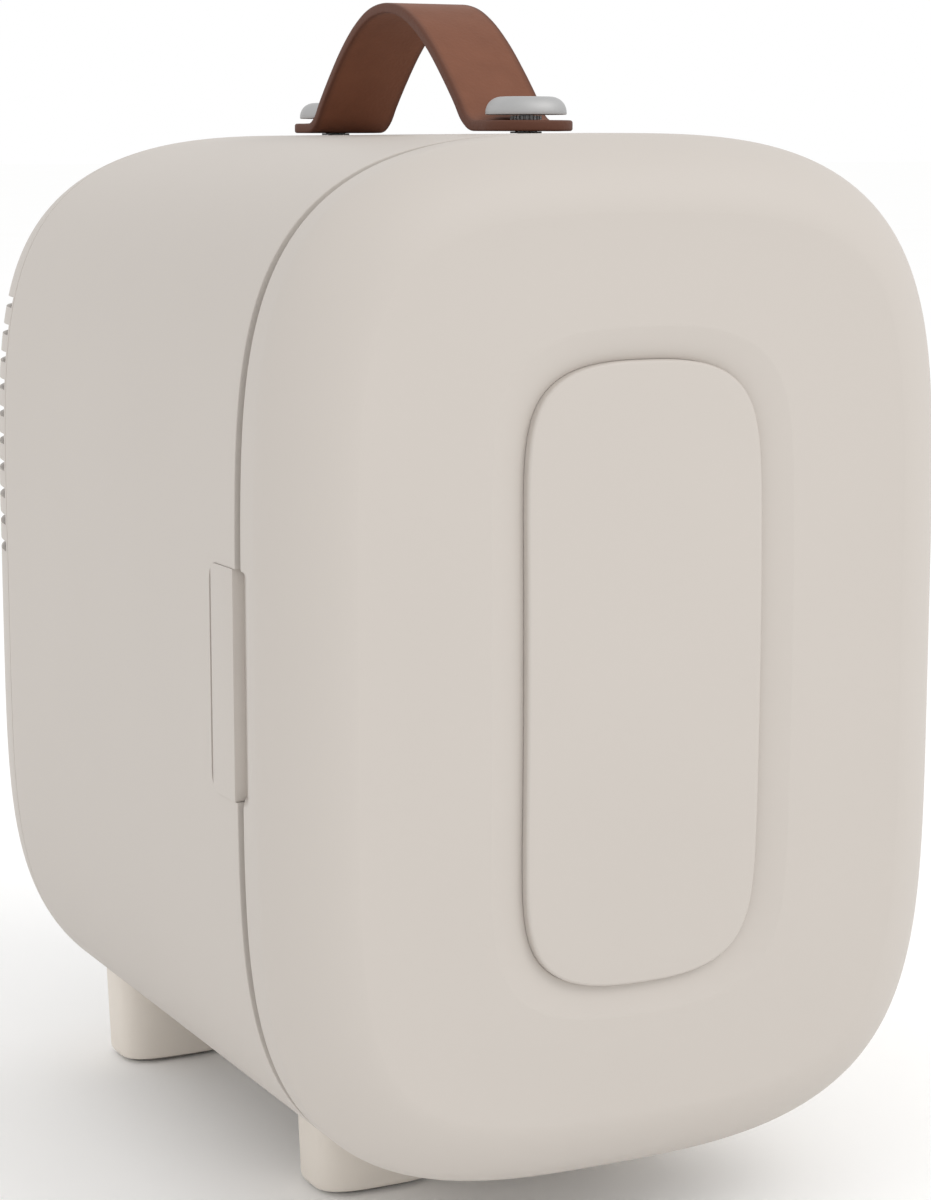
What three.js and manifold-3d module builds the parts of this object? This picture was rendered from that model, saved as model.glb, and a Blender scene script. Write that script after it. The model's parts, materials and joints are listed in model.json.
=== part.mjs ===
// Compact thermoelectric mini fridge: pillow shaped body, hinged door with an inset
// panel, sprung side latch, leather strap handle, cooling stack and rear cover.
// Millimetres, +Z up, front faces -Y, origin on the ground under the middle.
import * as THREE from "three";
import { mergeVertices } from "three/addons/utils/BufferGeometryUtils.js";
import Module from "manifold-3d";

// ---------- driving dimensions ----------
const BODY_WIDTH = 175;
const BODY_HEIGHT = 240;
const BODY_DEPTH = 227.4;
const FOOT_HEIGHT = 18.5;
const WALL = 2.4; // moulded shell thickness
const FIT = 0.4; // play between nested pieces
const SEAM_GAP = 2; // shadow gap between door and body
const DOOR_DEPTH = 25; // front face to the middle of the shadow gap
const RIM_LIP = 0.7; // small rounding of the rims along the gap

const HALF_WIDTH = BODY_WIDTH / 2;
const HALF_HEIGHT = BODY_HEIGHT / 2;
const MIDDLE_Z = FOOT_HEIGHT + HALF_HEIGHT;
const FRONT_Y = -BODY_DEPTH / 2;
const BACK_Y = BODY_DEPTH / 2;
const SEAM_Y = FRONT_Y + DOOR_DEPTH;
const DOOR_REAR_Y = SEAM_Y - SEAM_GAP / 2;
const RIM_Y = SEAM_Y + SEAM_GAP / 2;

// cross-section |x/a|^ROUND_X + |z/b|^ROUND_Z = 1
const ROUND_X = 3;
const ROUND_Z = 4.75;
const SECTION_POINTS = 40;

const FRONT_EDGE = { inset: 17.6, depth: 16, power: 1.6 };
const BACK_EDGE = { inset: 22, depth: 39, power: 1.8 };
const PARTING_Y = BACK_Y - 36.5; // housing to rear cover

// raised panel in its dished ring, on a door face crowned towards its middle
const PANEL_Z = MIDDLE_Z + 1;
const CROWN = { panel: 2.4, dish: 1.6 };
const PANEL = { halfWidth: 30.1, halfHeight: 71, roundX: 2.73, roundZ: 9, thick: 7.9 };
const DISH = { halfWidth: 38.8, halfHeight: 78.5, roundX: 2.73, roundZ: 8, depth: 4.2 };
const PANEL_Y = FRONT_Y - CROWN.panel;
const DISH_Y = FRONT_Y - CROWN.dish;

// side latch, on the left
const LATCH_HEIGHT = 52;
const LATCH_PIVOT = { x: -86, y: SEAM_Y + 15, radius: 1.75 };
const LATCH_FRONT_Y = SEAM_Y + 4;
const SCOOP_DEPTH = 2.7;
const BAY_MARGIN = 0.6;
const BAY_INNER_X = -80;
const PIN_BORE = 1.05;

// door hinge, on the right
const HINGE = { x: 88.3, knuckle: 2.8, bore: 1.5, pin: 1.15, height: 24, leaf: 0.5 };
const HINGE_LIFTS = { upper: 58, lower: -58 };

// cold cabin
const CABIN = { halfWidth: 66, halfHeight: 93, round: 7, backY: 46, frontY: RIM_Y + 1.7, wall: 2 };
const SHELF_Z = MIDDLE_Z + 2;
const STACK_Z = MIDDLE_Z + 14; // middle of the cooling stack
const FOAM_BACK_Y = 60;
const PORT_Z = MIDDLE_Z - 70; // inlets and switch
const RACK_Z = MIDDLE_Z - 74;

// strap handle
const STUDS = { front: -56.4, rear: 54 };
const STUD_SPOTS = Object.values(STUDS);
const STRAP = { width: 22, thick: 2.5, lift: 0.6 };
const TOP_Z = FOOT_HEIGHT + BODY_HEIGHT;

const FOOT = { halfX: 17.5, halfY: 11.5, roundX: 3.2, roundY: 3.4 };
const FOOT_ROWS = { front: { x: 33.5, y: -37.5 }, rear: { x: 41.5, y: 81 } };
const PAD = { thick: 1, margin: 3.5 };

// ---------- finishes ----------
const finish = (color, roughness, metalness = 0) =>
  new THREE.MeshStandardMaterial({ color, roughness, metalness });
const shellPlastic = finish(0xd3ccc4, 0.45);
const footPlastic = finish(0xb5aea5, 0.5);
const linerPlastic = finish(0xeceae6, 0.35);
const foam = finish(0xe8dfb8, 0.95);
const darkPlastic = finish(0x26272a, 0.5);
const rubber = finish(0x8d8983, 0.8);
const leather = finish(0x8b5c49, 0.6);
const satinMetal = finish(0xb7b7b7, 0.35, 1);
const steel = finish(0xa9abad, 0.3, 1);
const aluminium = finish(0xc9ccce, 0.35, 1);
const ceramic = finish(0xf0efea, 0.5);
const boardGreen = finish(0x1f5a3c, 0.55);

// ---------- outline and loft tools ----------
// Superellipse outline as [x, z] pairs, counter-clockwise seen from the front.
function outline(halfWidth, halfHeight, roundX, roundZ, count = SECTION_POINTS) {
  const points = [];
  for (let i = 0; i < count; i++) {
    const t = (2 * Math.PI * (i + 0.5)) / count;
    const c = Math.cos(t);
    const s = Math.sin(t);
    const x = halfWidth * Math.sign(c) * Math.abs(c) ** (2 / roundX);
    const z = halfHeight * Math.sign(s) * Math.abs(s) ** (2 / roundZ);
    points.push([x, z]);
  }
  return points;
}

// Moves every point of a closed outline inwards along its normal.
function shrink(points, distance) {
  const n = points.length;
  return points.map(([x, z], i) => {
    const [x0, z0] = points[(i + n - 1) % n];
    const [x1, z1] = points[(i + 1) % n];
    const length = Math.hypot(x1 - x0, z1 - z0);
    return [x - ((z1 - z0) / length) * distance, z + ((x1 - x0) / length) * distance];
  });
}

const section = outline(HALF_WIDTH, HALF_HEIGHT, ROUND_X, ROUND_Z);
const ring = (points, y, z = MIDDLE_Z) => points.map(([px, pz]) => [px, y, pz + z]);

// Inset of a rounded edge, from how far along its depth the section lies (0 tip, 1 full).
function edgeInset(edge, along) {
  const v = 1 - Math.min(Math.max(along, 0), 1);
  return edge.inset * (1 - (1 - v ** edge.power) ** (1 / edge.power));
}

// Closed skin through rings of equal length. Ends are capped, or joined when looped.
function loft(rings, looped = false) {
  const count = rings[0].length;
  const vertices = rings.flat();
  const faces = [];
  const last = looped ? rings.length : rings.length - 1;
  for (let r = 0; r < last; r++) {
    const a = r * count;
    const b = ((r + 1) % rings.length) * count;
    for (let i = 0; i < count; i++) {
      const j = (i + 1) % count;
      faces.push([a + i, a + j, b + j], [a + i, b + j, b + i]);
    }
  }
  if (!looped) {
    capEnd(vertices, faces, rings[0], 0, true);
    capEnd(vertices, faces, rings[rings.length - 1], (rings.length - 1) * count, false);
  }
  return turnedOut(vertices, faces);
}

function capEnd(vertices, faces, points, start, reversed) {
  const count = points.length;
  const centre = [0, 1, 2].map((k) => points.reduce((sum, p) => sum + p[k], 0) / count);
  const hub = vertices.push(centre) - 1;
  for (let i = 0; i < count; i++) {
    const j = (i + 1) % count;
    faces.push(reversed ? [hub, start + j, start + i] : [hub, start + i, start + j]);
  }
}

// Geometry whose faces point out, whichever way the rings ran.
function turnedOut(vertices, faces) {
  const volume = faces.reduce((sum, [a, b, c]) => {
    const [p, q, r] = [a, b, c].map((i) => new THREE.Vector3(...vertices[i]));
    return sum + p.dot(q.cross(r));
  }, 0);
  const index = volume < 0 ? faces.map(([a, b, c]) => [a, c, b]) : faces;
  const geometry = new THREE.BufferGeometry();
  geometry.setAttribute("position", new THREE.Float32BufferAttribute(vertices.flat(), 3));
  geometry.setIndex(index.flat());
  return geometry;
}

// ---------- solid tools ----------
const wasm = await Module();
wasm.setup();

function toSolid(geometry) {
  const bare = geometry.clone();
  bare.deleteAttribute("normal");
  bare.deleteAttribute("uv");
  const merged = mergeVertices(bare, 1e-4);
  const mesh = new wasm.Mesh({
    numProp: 3,
    vertProperties: merged.attributes.position.array,
    triVerts: new Uint32Array(merged.index.array),
  });
  return new wasm.Manifold(mesh);
}

function toGeometry(solid) {
  const mesh = solid.getMesh();
  const geometry = new THREE.BufferGeometry();
  geometry.setAttribute("position", new THREE.BufferAttribute(mesh.vertProperties, 3));
  geometry.setIndex(new THREE.BufferAttribute(mesh.triVerts, 1));
  return geometry;
}

function cut(geometry, ...tools) {
  const solid = tools.reduce((left, tool) => left.subtract(toSolid(tool)), toSolid(geometry));
  return toGeometry(solid);
}

function join(...pieces) {
  const solids = pieces.map(toSolid);
  return toGeometry(solids.reduce((sum, solid) => sum.add(solid)));
}

// Box from its lowest to its highest corner.
function block([x0, y0, z0], [x1, y1, z1]) {
  const box = new THREE.BoxGeometry(x1 - x0, y1 - y0, z1 - z0);
  return box.translate((x0 + x1) / 2, (y0 + y1) / 2, (z0 + z1) / 2);
}

// Rod along an axis, from its start point.
function rod(axis, radius, length, [x, y, z], sides = 24) {
  const bar = new THREE.CylinderGeometry(radius, radius, length, sides);
  bar.translate(0, length / 2, 0);
  if (axis === "z") bar.rotateX(Math.PI / 2);
  if (axis === "x") bar.rotateZ(-Math.PI / 2);
  return bar.translate(x, y, z);
}

// Turned piece about the vertical line through [x, y], profile as [radius, z] pairs.
function turned(profile, [x, y], sides = 24) {
  const points = profile.map(([radius, z]) => new THREE.Vector2(radius, z));
  const lathe = new THREE.LatheGeometry(points, sides);
  return lathe.rotateX(Math.PI / 2).translate(x, y, 0);
}

// Rounded rectangle shape about the origin.
function roundedRect(halfX, halfY, radius) {
  const shape = new THREE.Shape();
  shape.absarc(halfX - radius, halfY - radius, radius, 0, Math.PI / 2);
  shape.absarc(radius - halfX, halfY - radius, radius, Math.PI / 2, Math.PI);
  shape.absarc(radius - halfX, radius - halfY, radius, Math.PI, 1.5 * Math.PI);
  shape.absarc(halfX - radius, radius - halfY, radius, 1.5 * Math.PI, 2 * Math.PI);
  shape.closePath();
  return shape;
}

function extrude(shape, depth, curveSegments = 4) {
  return new THREE.ExtrudeGeometry(shape, { depth, bevelEnabled: false, curveSegments });
}

// Turns a flat drawing so that its own X runs along +Y, its Y along +Z, its depth along +X.
function turnSideways(geometry) {
  const axes = [new THREE.Vector3(0, 1, 0), new THREE.Vector3(0, 0, 1), new THREE.Vector3(1, 0, 0)];
  return geometry.applyMatrix4(new THREE.Matrix4().makeBasis(...axes));
}

// Rounded rectangle standing in the X-Z plane, thickened along +Y from y.
function plateXZ(halfX, halfZ, radius, y, thick, x, z) {
  const plate = extrude(roundedRect(halfX, halfZ, radius), thick, 3);
  return plate.rotateX(Math.PI / 2).translate(x, y + thick, z);
}

const fridge = new THREE.Group();
function place(name, geometry, material) {
  const mesh = new THREE.Mesh(geometry, material);
  mesh.name = name;
  fridge.add(mesh);
}

// ---------- body ----------
const backInsetAt = (y) => edgeInset(BACK_EDGE, (BACK_Y - y) / BACK_EDGE.depth);
const latchBay = (reach, frontY, backY, inner) =>
  block(
    [-HALF_WIDTH - 3, frontY, MIDDLE_Z - LATCH_HEIGHT / 2 - reach],
    [inner, backY, MIDDLE_Z + LATCH_HEIGHT / 2 + reach],
  );
const latchBayRear = LATCH_PIVOT.y + LATCH_PIVOT.radius + BAY_MARGIN;

// Rings of the outer or inner skin of the body between two depths.
const backStops = [1, 0.75, 0.5, 0.3, 0.12, 0.03, 0].map((s) => BACK_Y - s * BACK_EDGE.depth);

function bodyRings(fromY, toY, inset) {
  const between = backStops.filter((y) => y > fromY + 1 && y < toY - 1);
  const stops = [fromY, ...between, toY];
  return stops.map((y) => ring(shrink(section, inset + backInsetAt(y)), y));
}

function housingShell() {
  const outer = bodyRings(RIM_Y + RIM_LIP, PARTING_Y, 0);
  const inner = bodyRings(RIM_Y, PARTING_Y, WALL).reverse();
  const shell = loft([ring(shrink(section, RIM_LIP), RIM_Y), ...outer, ...inner], true);
  const postHoles = STUD_SPOTS.map((y) => rod("z", 2.4, 12, [0, y, TOP_Z - 6]));
  const bay = latchBay(BAY_MARGIN, RIM_Y - 2, latchBayRear, BAY_INNER_X);
  const pinBore = rod("z", PIN_BORE, LATCH_HEIGHT + 9, latchPinFoot(4.5), 12);
  return cut(shell, ...postHoles, bay, pinBore, ...hingeNotches());
}

// Room for the hinge knuckles and pin heads in the rims of body and door.
const hingeNotches = () =>
  Object.values(HINGE_LIFTS).map((lift) =>
    rod("z", HINGE.knuckle + 0.5, HINGE.height + 4, [
      HINGE.x,
      SEAM_Y,
      MIDDLE_Z + lift - HINGE.height / 2 - 1.5,
    ]),
  );

const latchPinFoot = (extra) => [
  LATCH_PIVOT.x,
  LATCH_PIVOT.y,
  MIDDLE_Z - LATCH_HEIGHT / 2 - extra,
];

const LINER_EDGE = WALL + FIT;
const cabinOutline = (grow) =>
  outline(CABIN.halfWidth + grow, CABIN.halfHeight + grow, CABIN.round, CABIN.round);
const stackHole = (half) => outline(half, half, 12, 12);

function cabinLiner() {
  const { frontY, backY, wall } = CABIN;
  const holeLift = STACK_Z - MIDDLE_Z;
  const hole = stackHole(22).map(([x, z]) => [x, z + holeLift]);
  const shell = loft(
    [
      ring(hole, backY),
      ring(cabinOutline(-1.5), backY),
      ring(cabinOutline(0), frontY),
      ring(shrink(section, LINER_EDGE), frontY),
      ring(shrink(section, LINER_EDGE), frontY + wall),
      ring(cabinOutline(wall), frontY + wall),
      ring(cabinOutline(wall - 1.5), backY + wall),
      ring(hole, backY + wall),
    ],
    true,
  );
  const ledges = [-1, 1].map((side) => shelfLedge(side));
  return cut(join(shell, ...ledges), latchBay(BAY_MARGIN, RIM_Y, latchBayRear, BAY_INNER_X));
}

function shelfLedge(side) {
  const outer = side * (CABIN.halfWidth + 0.8);
  const inner = side * (CABIN.halfWidth - 5);
  const low = Math.min(outer, inner);
  const high = Math.max(outer, inner);
  return block([low, -44, SHELF_Z - 3], [high, 40, SHELF_Z]);
}

function cabinFoam() {
  const front = CABIN.frontY + CABIN.wall + FIT;
  const hole = stackHole(22.5).map(([x, z]) => [x, z + STACK_Z - MIDDLE_Z]);
  const jacket = loft(
    [
      ring(shrink(section, LINER_EDGE), front),
      ring(shrink(section, LINER_EDGE + backInsetAt(FOAM_BACK_Y)), FOAM_BACK_Y),
      ring(hole, FOAM_BACK_Y),
      ring(hole, CABIN.backY + CABIN.wall + FIT),
      ring(cabinOutline(CABIN.wall + FIT), CABIN.backY + CABIN.wall + FIT),
      ring(cabinOutline(CABIN.wall + FIT), front),
    ],
    true,
  );
  const nutPockets = STUD_SPOTS.map((y) => rod("z", 6, 14, [0, y, TOP_Z - 12], 12));
  return cut(jacket, ...nutPockets, latchBay(BAY_MARGIN, front - 1, latchBayRear, BAY_INNER_X));
}

// ---------- cooling stack ----------
const squareRing = (half, y) => ring(outline(half, half, 14, 14, 24), y, STACK_Z);

function coldPlate() {
  const faceY = CABIN.backY - FIT;
  return loft([
    squareRing(42, faceY - 3),
    squareRing(42, faceY),
    squareRing(20, faceY),
    squareRing(20, 57.6),
  ]);
}

function chassisPlate() {
  const plateY = FOAM_BACK_Y + FIT;
  const edge = shrink(section, LINER_EDGE + backInsetAt(plateY + 2));
  const plate = loft([ring(edge, plateY), ring(edge, plateY + 2)]);
  const opening = plateXZ(22.5, 22.5, 2, plateY - 1, 4, 0, STACK_Z);
  const posts = rearScrewSpots.map(([x, z]) => rod("y", 4.2, 46, [x, plateY + 1, z], 12));
  const bores = rearScrewSpots.map(([x, z]) => rod("y", 1.9, 20, [x, plateY + 30, z], 12));
  return cut(join(plate, ...posts), opening, ...bores);
}

function heatSink() {
  const half = 46;
  const baseY = FOAM_BACK_Y + 3;
  const baseThick = 4;
  const finReach = 22;
  const finPitch = 6.5;
  const finThick = 1.2;
  const shape = new THREE.Shape();
  shape.moveTo(-half, 0);
  for (let fin = -7; fin <= 7; fin++) {
    const x = fin * finPitch;
    if (fin > -7) shape.lineTo(x - finThick / 2, baseThick);
    shape.lineTo(fin > -7 ? x - finThick / 2 : -half, baseThick + finReach);
    shape.lineTo(fin < 7 ? x + finThick / 2 : half, baseThick + finReach);
    if (fin < 7) shape.lineTo(x + finThick / 2, baseThick);
  }
  shape.lineTo(half, 0);
  shape.closePath();
  return extrude(shape, 2 * half).translate(0, baseY, STACK_Z - half);
}

const FAN = { frontY: 90, depth: 14, half: 42, bore: 38.5, bladeTip: 37, hub: 14 };

function fanFrame() {
  const { frontY, depth, half, bore } = FAN;
  const frame = plateXZ(half, half, 5, frontY, depth, 0, STACK_Z);
  const tunnel = rod("y", bore, depth + 2, [0, frontY - 1, STACK_Z], 40);
  const arms = [0, 1, 2].map((turn) => {
    const arm = block([10, -0.9, -2], [bore + 1.5, 0.9, 2]);
    return arm.rotateY((turn * 2 * Math.PI) / 3 + 0.5).translate(0, frontY + depth - 1.2, STACK_Z);
  });
  const boss = rod("y", FAN.hub, 2, [0, frontY + depth - 2.1, STACK_Z], 24);
  const shaftBore = rod("y", 1.9, 6, [0, frontY + depth - 4, STACK_Z], 12);
  return cut(join(cut(frame, tunnel), ...arms, boss), shaftBore);
}

function fanRotor() {
  const { frontY, bladeTip, hub } = FAN;
  const hubPiece = rod("y", hub - 0.5, 9.6, [0, frontY + 1.6, STACK_Z], 24);
  const shaft = rod("y", 1.4, 13, [0, frontY + 1, STACK_Z], 12);
  const blades = Array.from({ length: 7 }, (_, blade) => {
    const vane = block([hub - 2, -0.8, -8], [bladeTip, 0.8, 8]);
    vane.rotateX(0.5);
    return vane
      .rotateY((blade * 2 * Math.PI) / 7)
      .translate(0, frontY + 6.2, STACK_Z);
  });
  return join(hubPiece, shaft, ...blades);
}

function controlBoard() {
  const y = 70;
  const low = PORT_Z - 22;
  const board = block([-46, y, low], [32, y + 1.6, low + 44]);
  const transformer = block([-40, y + 1.2, low + 6], [-18, y + 20, low + 26]);
  const capacitor = rod("y", 6, 18, [-2, y + 1, low + 16], 12);
  const relay = block([10, y + 1.2, low + 8], [24, y + 14, low + 24]);
  const chips = [-30, -14, 2, 16].map((x) => block([x, y + 1.2, low + 32], [x + 8, y + 4, low + 38]));
  return join(board, transformer, capacitor, relay, ...chips);
}

// ---------- rear cover and ports ----------
const rearScrewSpots = [-1, 1].flatMap((sx) => [-1, 1].map((sz) => [sx * 52, MIDDLE_Z + sz * 82]));
const SIDE_SLOTS = {
  count: 10,
  lowZ: MIDDLE_Z + 8.7,
  pitch: 7.3,
  height: 2.8,
  frontY: PARTING_Y + 1.6,
  innerX: 58,
};
const PORTS = { mains: -34, dc: -4, mode: 30 };
const SCREW_HEAD = { radius: 3.4, sink: 3 };

function rearCover() {
  const startY = PARTING_Y + FIT;
  const outer = bodyRings(startY, BACK_Y, 0).reverse();
  const inner = bodyRings(startY, BACK_Y - WALL, WALL);
  const shell = loft([...outer, ...inner]);
  return cut(shell, ...sideSlots(), ...fanSlots(), ...portHoles(), ...screwSinks());
}

function sideSlots() {
  const { count, lowZ, pitch, height, frontY, innerX } = SIDE_SLOTS;
  const slots = [];
  for (let i = 0; i < count; i++) {
    const z = lowZ + i * pitch;
    slots.push(block([-HALF_WIDTH - 2, frontY, z], [-innerX, BACK_Y + 2, z + height]));
    slots.push(block([innerX, frontY, z], [HALF_WIDTH + 2, BACK_Y + 2, z + height]));
  }
  return slots;
}

function fanSlots() {
  const slots = [];
  for (let row = -4; row <= 4; row++) {
    const z = STACK_Z + row * 8;
    const reach = Math.sqrt(38 ** 2 - (Math.abs(row * 8) + 1.6) ** 2);
    slots.push(block([-reach, BACK_Y - 5, z - 1.6], [reach, BACK_Y + 2, z + 1.6]));
  }
  return slots;
}

const portHoles = () => [
  plateXZ(11.4, 7.9, 2, BACK_Y - 6, 12, PORTS.mains, PORT_Z),
  rod("y", 5.4, 12, [PORTS.dc, BACK_Y - 6, PORT_Z], 20),
  plateXZ(9.9, 8.4, 1, BACK_Y - 6, 12, PORTS.mode, PORT_Z),
];

const screwSinks = () =>
  rearScrewSpots.flatMap(([x, z]) => [
    rod("y", 2, 12, [x, BACK_Y - 8, z], 12),
    rod("y", SCREW_HEAD.radius + 0.4, 4, [x, BACK_Y - 1.2, z], 16),
  ]);

function rearScrew([x, z]) {
  const shank = rod("y", 1.5, 14, [x, BACK_Y - 14.5, z], 12);
  const head = rod("y", SCREW_HEAD.radius, 1.8, [x, BACK_Y - 0.9, z], 16);
  const slot = block([x - 2.4, BACK_Y + 0.2, z - 0.4], [x + 2.4, BACK_Y + 2, z + 0.4]);
  return cut(join(shank, head), slot);
}

function mainsInlet() {
  const flange = plateXZ(13, 9.5, 3, BACK_Y + 0.3, 1, PORTS.mains, PORT_Z);
  const body = plateXZ(11, 7.5, 2, BACK_Y - 16, 17, PORTS.mains, PORT_Z);
  const socket = plateXZ(9.2, 5.4, 5.2, BACK_Y - 12, 15, PORTS.mains, PORT_Z);
  const pins = [-4.3, 4.3].map((x) =>
    rod("y", 1.2, 9, [PORTS.mains + x, BACK_Y - 12.5, PORT_Z], 10),
  );
  return join(cut(join(flange, body), socket), ...pins);
}

function dcSocket() {
  const flange = rod("y", 6.8, 1, [PORTS.dc, BACK_Y + 0.3, PORT_Z]);
  const body = rod("y", 5, 14, [PORTS.dc, BACK_Y - 13, PORT_Z]);
  const socket = rod("y", 3.2, 12, [PORTS.dc, BACK_Y - 9, PORT_Z], 16);
  const pin = rod("y", 1.05, 8, [PORTS.dc, BACK_Y - 9.5, PORT_Z], 10);
  return join(cut(join(flange, body), socket), pin);
}

const ROCKER = { halfX: 7, halfZ: 6, pivotY: BACK_Y - 2.4, play: 1.4 };

function modeSwitch() {
  const flange = plateXZ(11.5, 10, 1.5, BACK_Y + 0.3, 1, PORTS.mode, PORT_Z);
  const body = plateXZ(9.5, 8, 1, BACK_Y - 14, 15, PORTS.mode, PORT_Z);
  const { halfX, halfZ, play } = ROCKER;
  const well = plateXZ(halfX + 0.5, halfZ + play, 0.5, BACK_Y - 7.5, 12, PORTS.mode, PORT_Z);
  return cut(join(flange, body), well);
}

// Rocker with a hollow-ground face, its two ends standing proud.
function modeRocker() {
  const { halfX, halfZ, pivotY } = ROCKER;
  const shape = new THREE.Shape();
  shape.moveTo(-1.5, -halfZ + 0.6);
  shape.lineTo(4.2, -halfZ);
  shape.quadraticCurveTo(2.2, 0, 4.2, halfZ);
  shape.lineTo(-1.5, halfZ - 0.6);
  shape.quadraticCurveTo(-5, 0, -1.5, -halfZ + 0.6);
  const rocker = turnSideways(extrude(shape, 2 * halfX, 6).translate(0, 0, -halfX));
  return rocker.translate(PORTS.mode, pivotY, PORT_Z);
}

// ---------- cabin shelf ----------
function cabinShelf() {
  const z = SHELF_Z + FIT;
  const plate = block([-64, -44, z], [64, 38, z + 2.4]);
  const lip = block([-64, -44, z + 2], [64, -41.6, z + 6]);
  return join(plate, lip);
}

// ---------- feet ----------
const bodyCore = () => loft(bodyRings(SEAM_Y, BACK_Y, -FIT));

function foot(x, y) {
  const { halfX, halfY, roundX, roundY } = FOOT;
  const column = (grow, z) =>
    outline(halfX + grow, halfY + grow, roundX, roundY, 22).map(([px, py]) => [px + x, py + y, z]);
  const low = PAD.thick + 0.3;
  const blank = loft([column(-1.6, low), column(-0.6, low + 1), column(0.4, 34)]);
  return cut(blank, bodyCore());
}

function footPad(x, y) {
  const { halfX, halfY } = FOOT;
  const pad = outline(halfX - PAD.margin, halfY - PAD.margin, 3, 3, 20);
  const lay = (z) => pad.map(([px, py]) => [px + x, py + y, z]);
  return loft([lay(0), lay(PAD.thick)]);
}

// ---------- door ----------
const frontInsetAt = (y) => edgeInset(FRONT_EDGE, (y - FRONT_Y) / FRONT_EDGE.depth);
const doorStops = [0, 0.06, 0.2, 0.42, 0.7, 1].map((s) => FRONT_Y + s * FRONT_EDGE.depth);
const panelOutline = (grow) =>
  outline(PANEL.halfWidth + grow, PANEL.halfHeight + grow, PANEL.roundX, PANEL.roundZ);
const dishOutline = outline(DISH.halfWidth, DISH.halfHeight, DISH.roundX, DISH.roundZ);
const catchBay = () => latchBay(BAY_MARGIN, SEAM_Y - 13, SEAM_Y + 6, -80.5);

function doorShell() {
  const floorY = PANEL_Y + PANEL.thick + FIT;
  const outer = doorStops.map((y) => ring(shrink(section, frontInsetAt(y)), y));
  const inner = doorStops.map((y) => {
    const inset = WALL + frontInsetAt(y);
    const inside = y + (WALL * (DOOR_REAR_Y - y)) / (DOOR_REAR_Y - FRONT_Y);
    return ring(shrink(section, inset), inside);
  });
  const shell = loft([
    ring(panelOutline(FIT), floorY, PANEL_Z),
    ring(panelOutline(FIT), DISH_Y + DISH.depth, PANEL_Z),
    ring(dishOutline, DISH_Y, PANEL_Z),
    ...outer,
    ring(section, DOOR_REAR_Y - RIM_LIP),
    ring(shrink(section, RIM_LIP), DOOR_REAR_Y),
    ring(shrink(section, WALL), DOOR_REAR_Y),
    ...inner.reverse(),
    ring(panelOutline(FIT + WALL + 3), FRONT_Y + WALL, PANEL_Z),
    ring(panelOutline(FIT + WALL), floorY + WALL, PANEL_Z),
  ]);
  return cut(shell, catchBay(), ...hingeNotches());
}

function doorInsetPanel() {
  const round = 1.1;
  return loft([
    ring(panelOutline(-round), PANEL_Y, PANEL_Z),
    ring(panelOutline(-0.3 * round), PANEL_Y + 0.3 * round, PANEL_Z),
    ring(panelOutline(0), PANEL_Y + round, PANEL_Z),
    ring(panelOutline(0), PANEL_Y + PANEL.thick, PANEL_Z),
  ]);
}

const PLUG = { halfWidth: 58, halfHeight: 85, rearY: SEAM_Y + 6 };
const plugOutline = (grow) => outline(PLUG.halfWidth + grow, PLUG.halfHeight + grow, 7, 7);

function doorLiner() {
  const rear = DOOR_REAR_Y + 0.1;
  const skin = 1.8;
  const edge = shrink(section, WALL + FIT);
  const pan = loft([
    ring(plugOutline(-4 - skin), PLUG.rearY - skin),
    ring(plugOutline(-skin), rear - skin),
    ring(edge, rear - skin),
    ring(edge, rear),
    ring(plugOutline(0), rear),
    ring(plugOutline(-4), PLUG.rearY),
  ]);
  return cut(pan, catchBay());
}

function doorFoam() {
  const rear = DOOR_REAR_Y - 2.1;
  const front = PANEL_Y + PANEL.thick + WALL + 2 * FIT;
  const slab = loft([
    ring(shrink(section, FRONT_EDGE.inset + 4), front),
    ring(shrink(section, WALL + FIT + 3), rear - 4),
    ring(shrink(section, WALL + FIT + 1), rear),
  ]);
  return cut(slab, catchBay());
}

function doorGasket() {
  const front = DOOR_REAR_Y + 0.5;
  const rear = CABIN.frontY - FIT;
  const outer = shrink(section, 12.5);
  const inner = shrink(section, 17.5);
  return loft(
    [
      ring(outer, front),
      ring(shrink(section, 13.6), rear),
      ring(shrink(section, 16.4), rear),
      ring(inner, front),
    ],
    true,
  );
}

function doorRack() {
  const y0 = PLUG.rearY + FIT;
  const y1 = y0 + 30;
  const tub = extrude(roundedRect(52, 15, 6), 40, 3).translate(0, (y0 + y1) / 2, RACK_Z);
  const hollow = extrude(roundedRect(50, 13, 4), 40, 3).translate(0, (y0 + y1) / 2, RACK_Z + 2);
  return cut(tub, hollow);
}

// ---------- latch ----------
function barFromPlan(points, height, z0) {
  const shape = new THREE.Shape(points.map(([x, y]) => new THREE.Vector2(x, y)));
  return extrude(shape, height).translate(0, 0, z0);
}

function doorCatch() {
  const reachY = LATCH_FRONT_Y - 0.7;
  const plan = [
    [-HALF_WIDTH + 0.1, SEAM_Y - 12.6],
    [-82.8, SEAM_Y - 12.6],
    [-80.9, SEAM_Y - 6],
    [-80.9, SEAM_Y + 2],
    [-81.6, reachY],
    [-HALF_WIDTH + SCOOP_DEPTH, reachY],
    [-HALF_WIDTH + SCOOP_DEPTH - 0.2, SEAM_Y - 1],
    [-HALF_WIDTH + 0.9, SEAM_Y - 9],
  ];
  return barFromPlan(plan, LATCH_HEIGHT, MIDDLE_Z - LATCH_HEIGHT / 2);
}

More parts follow.
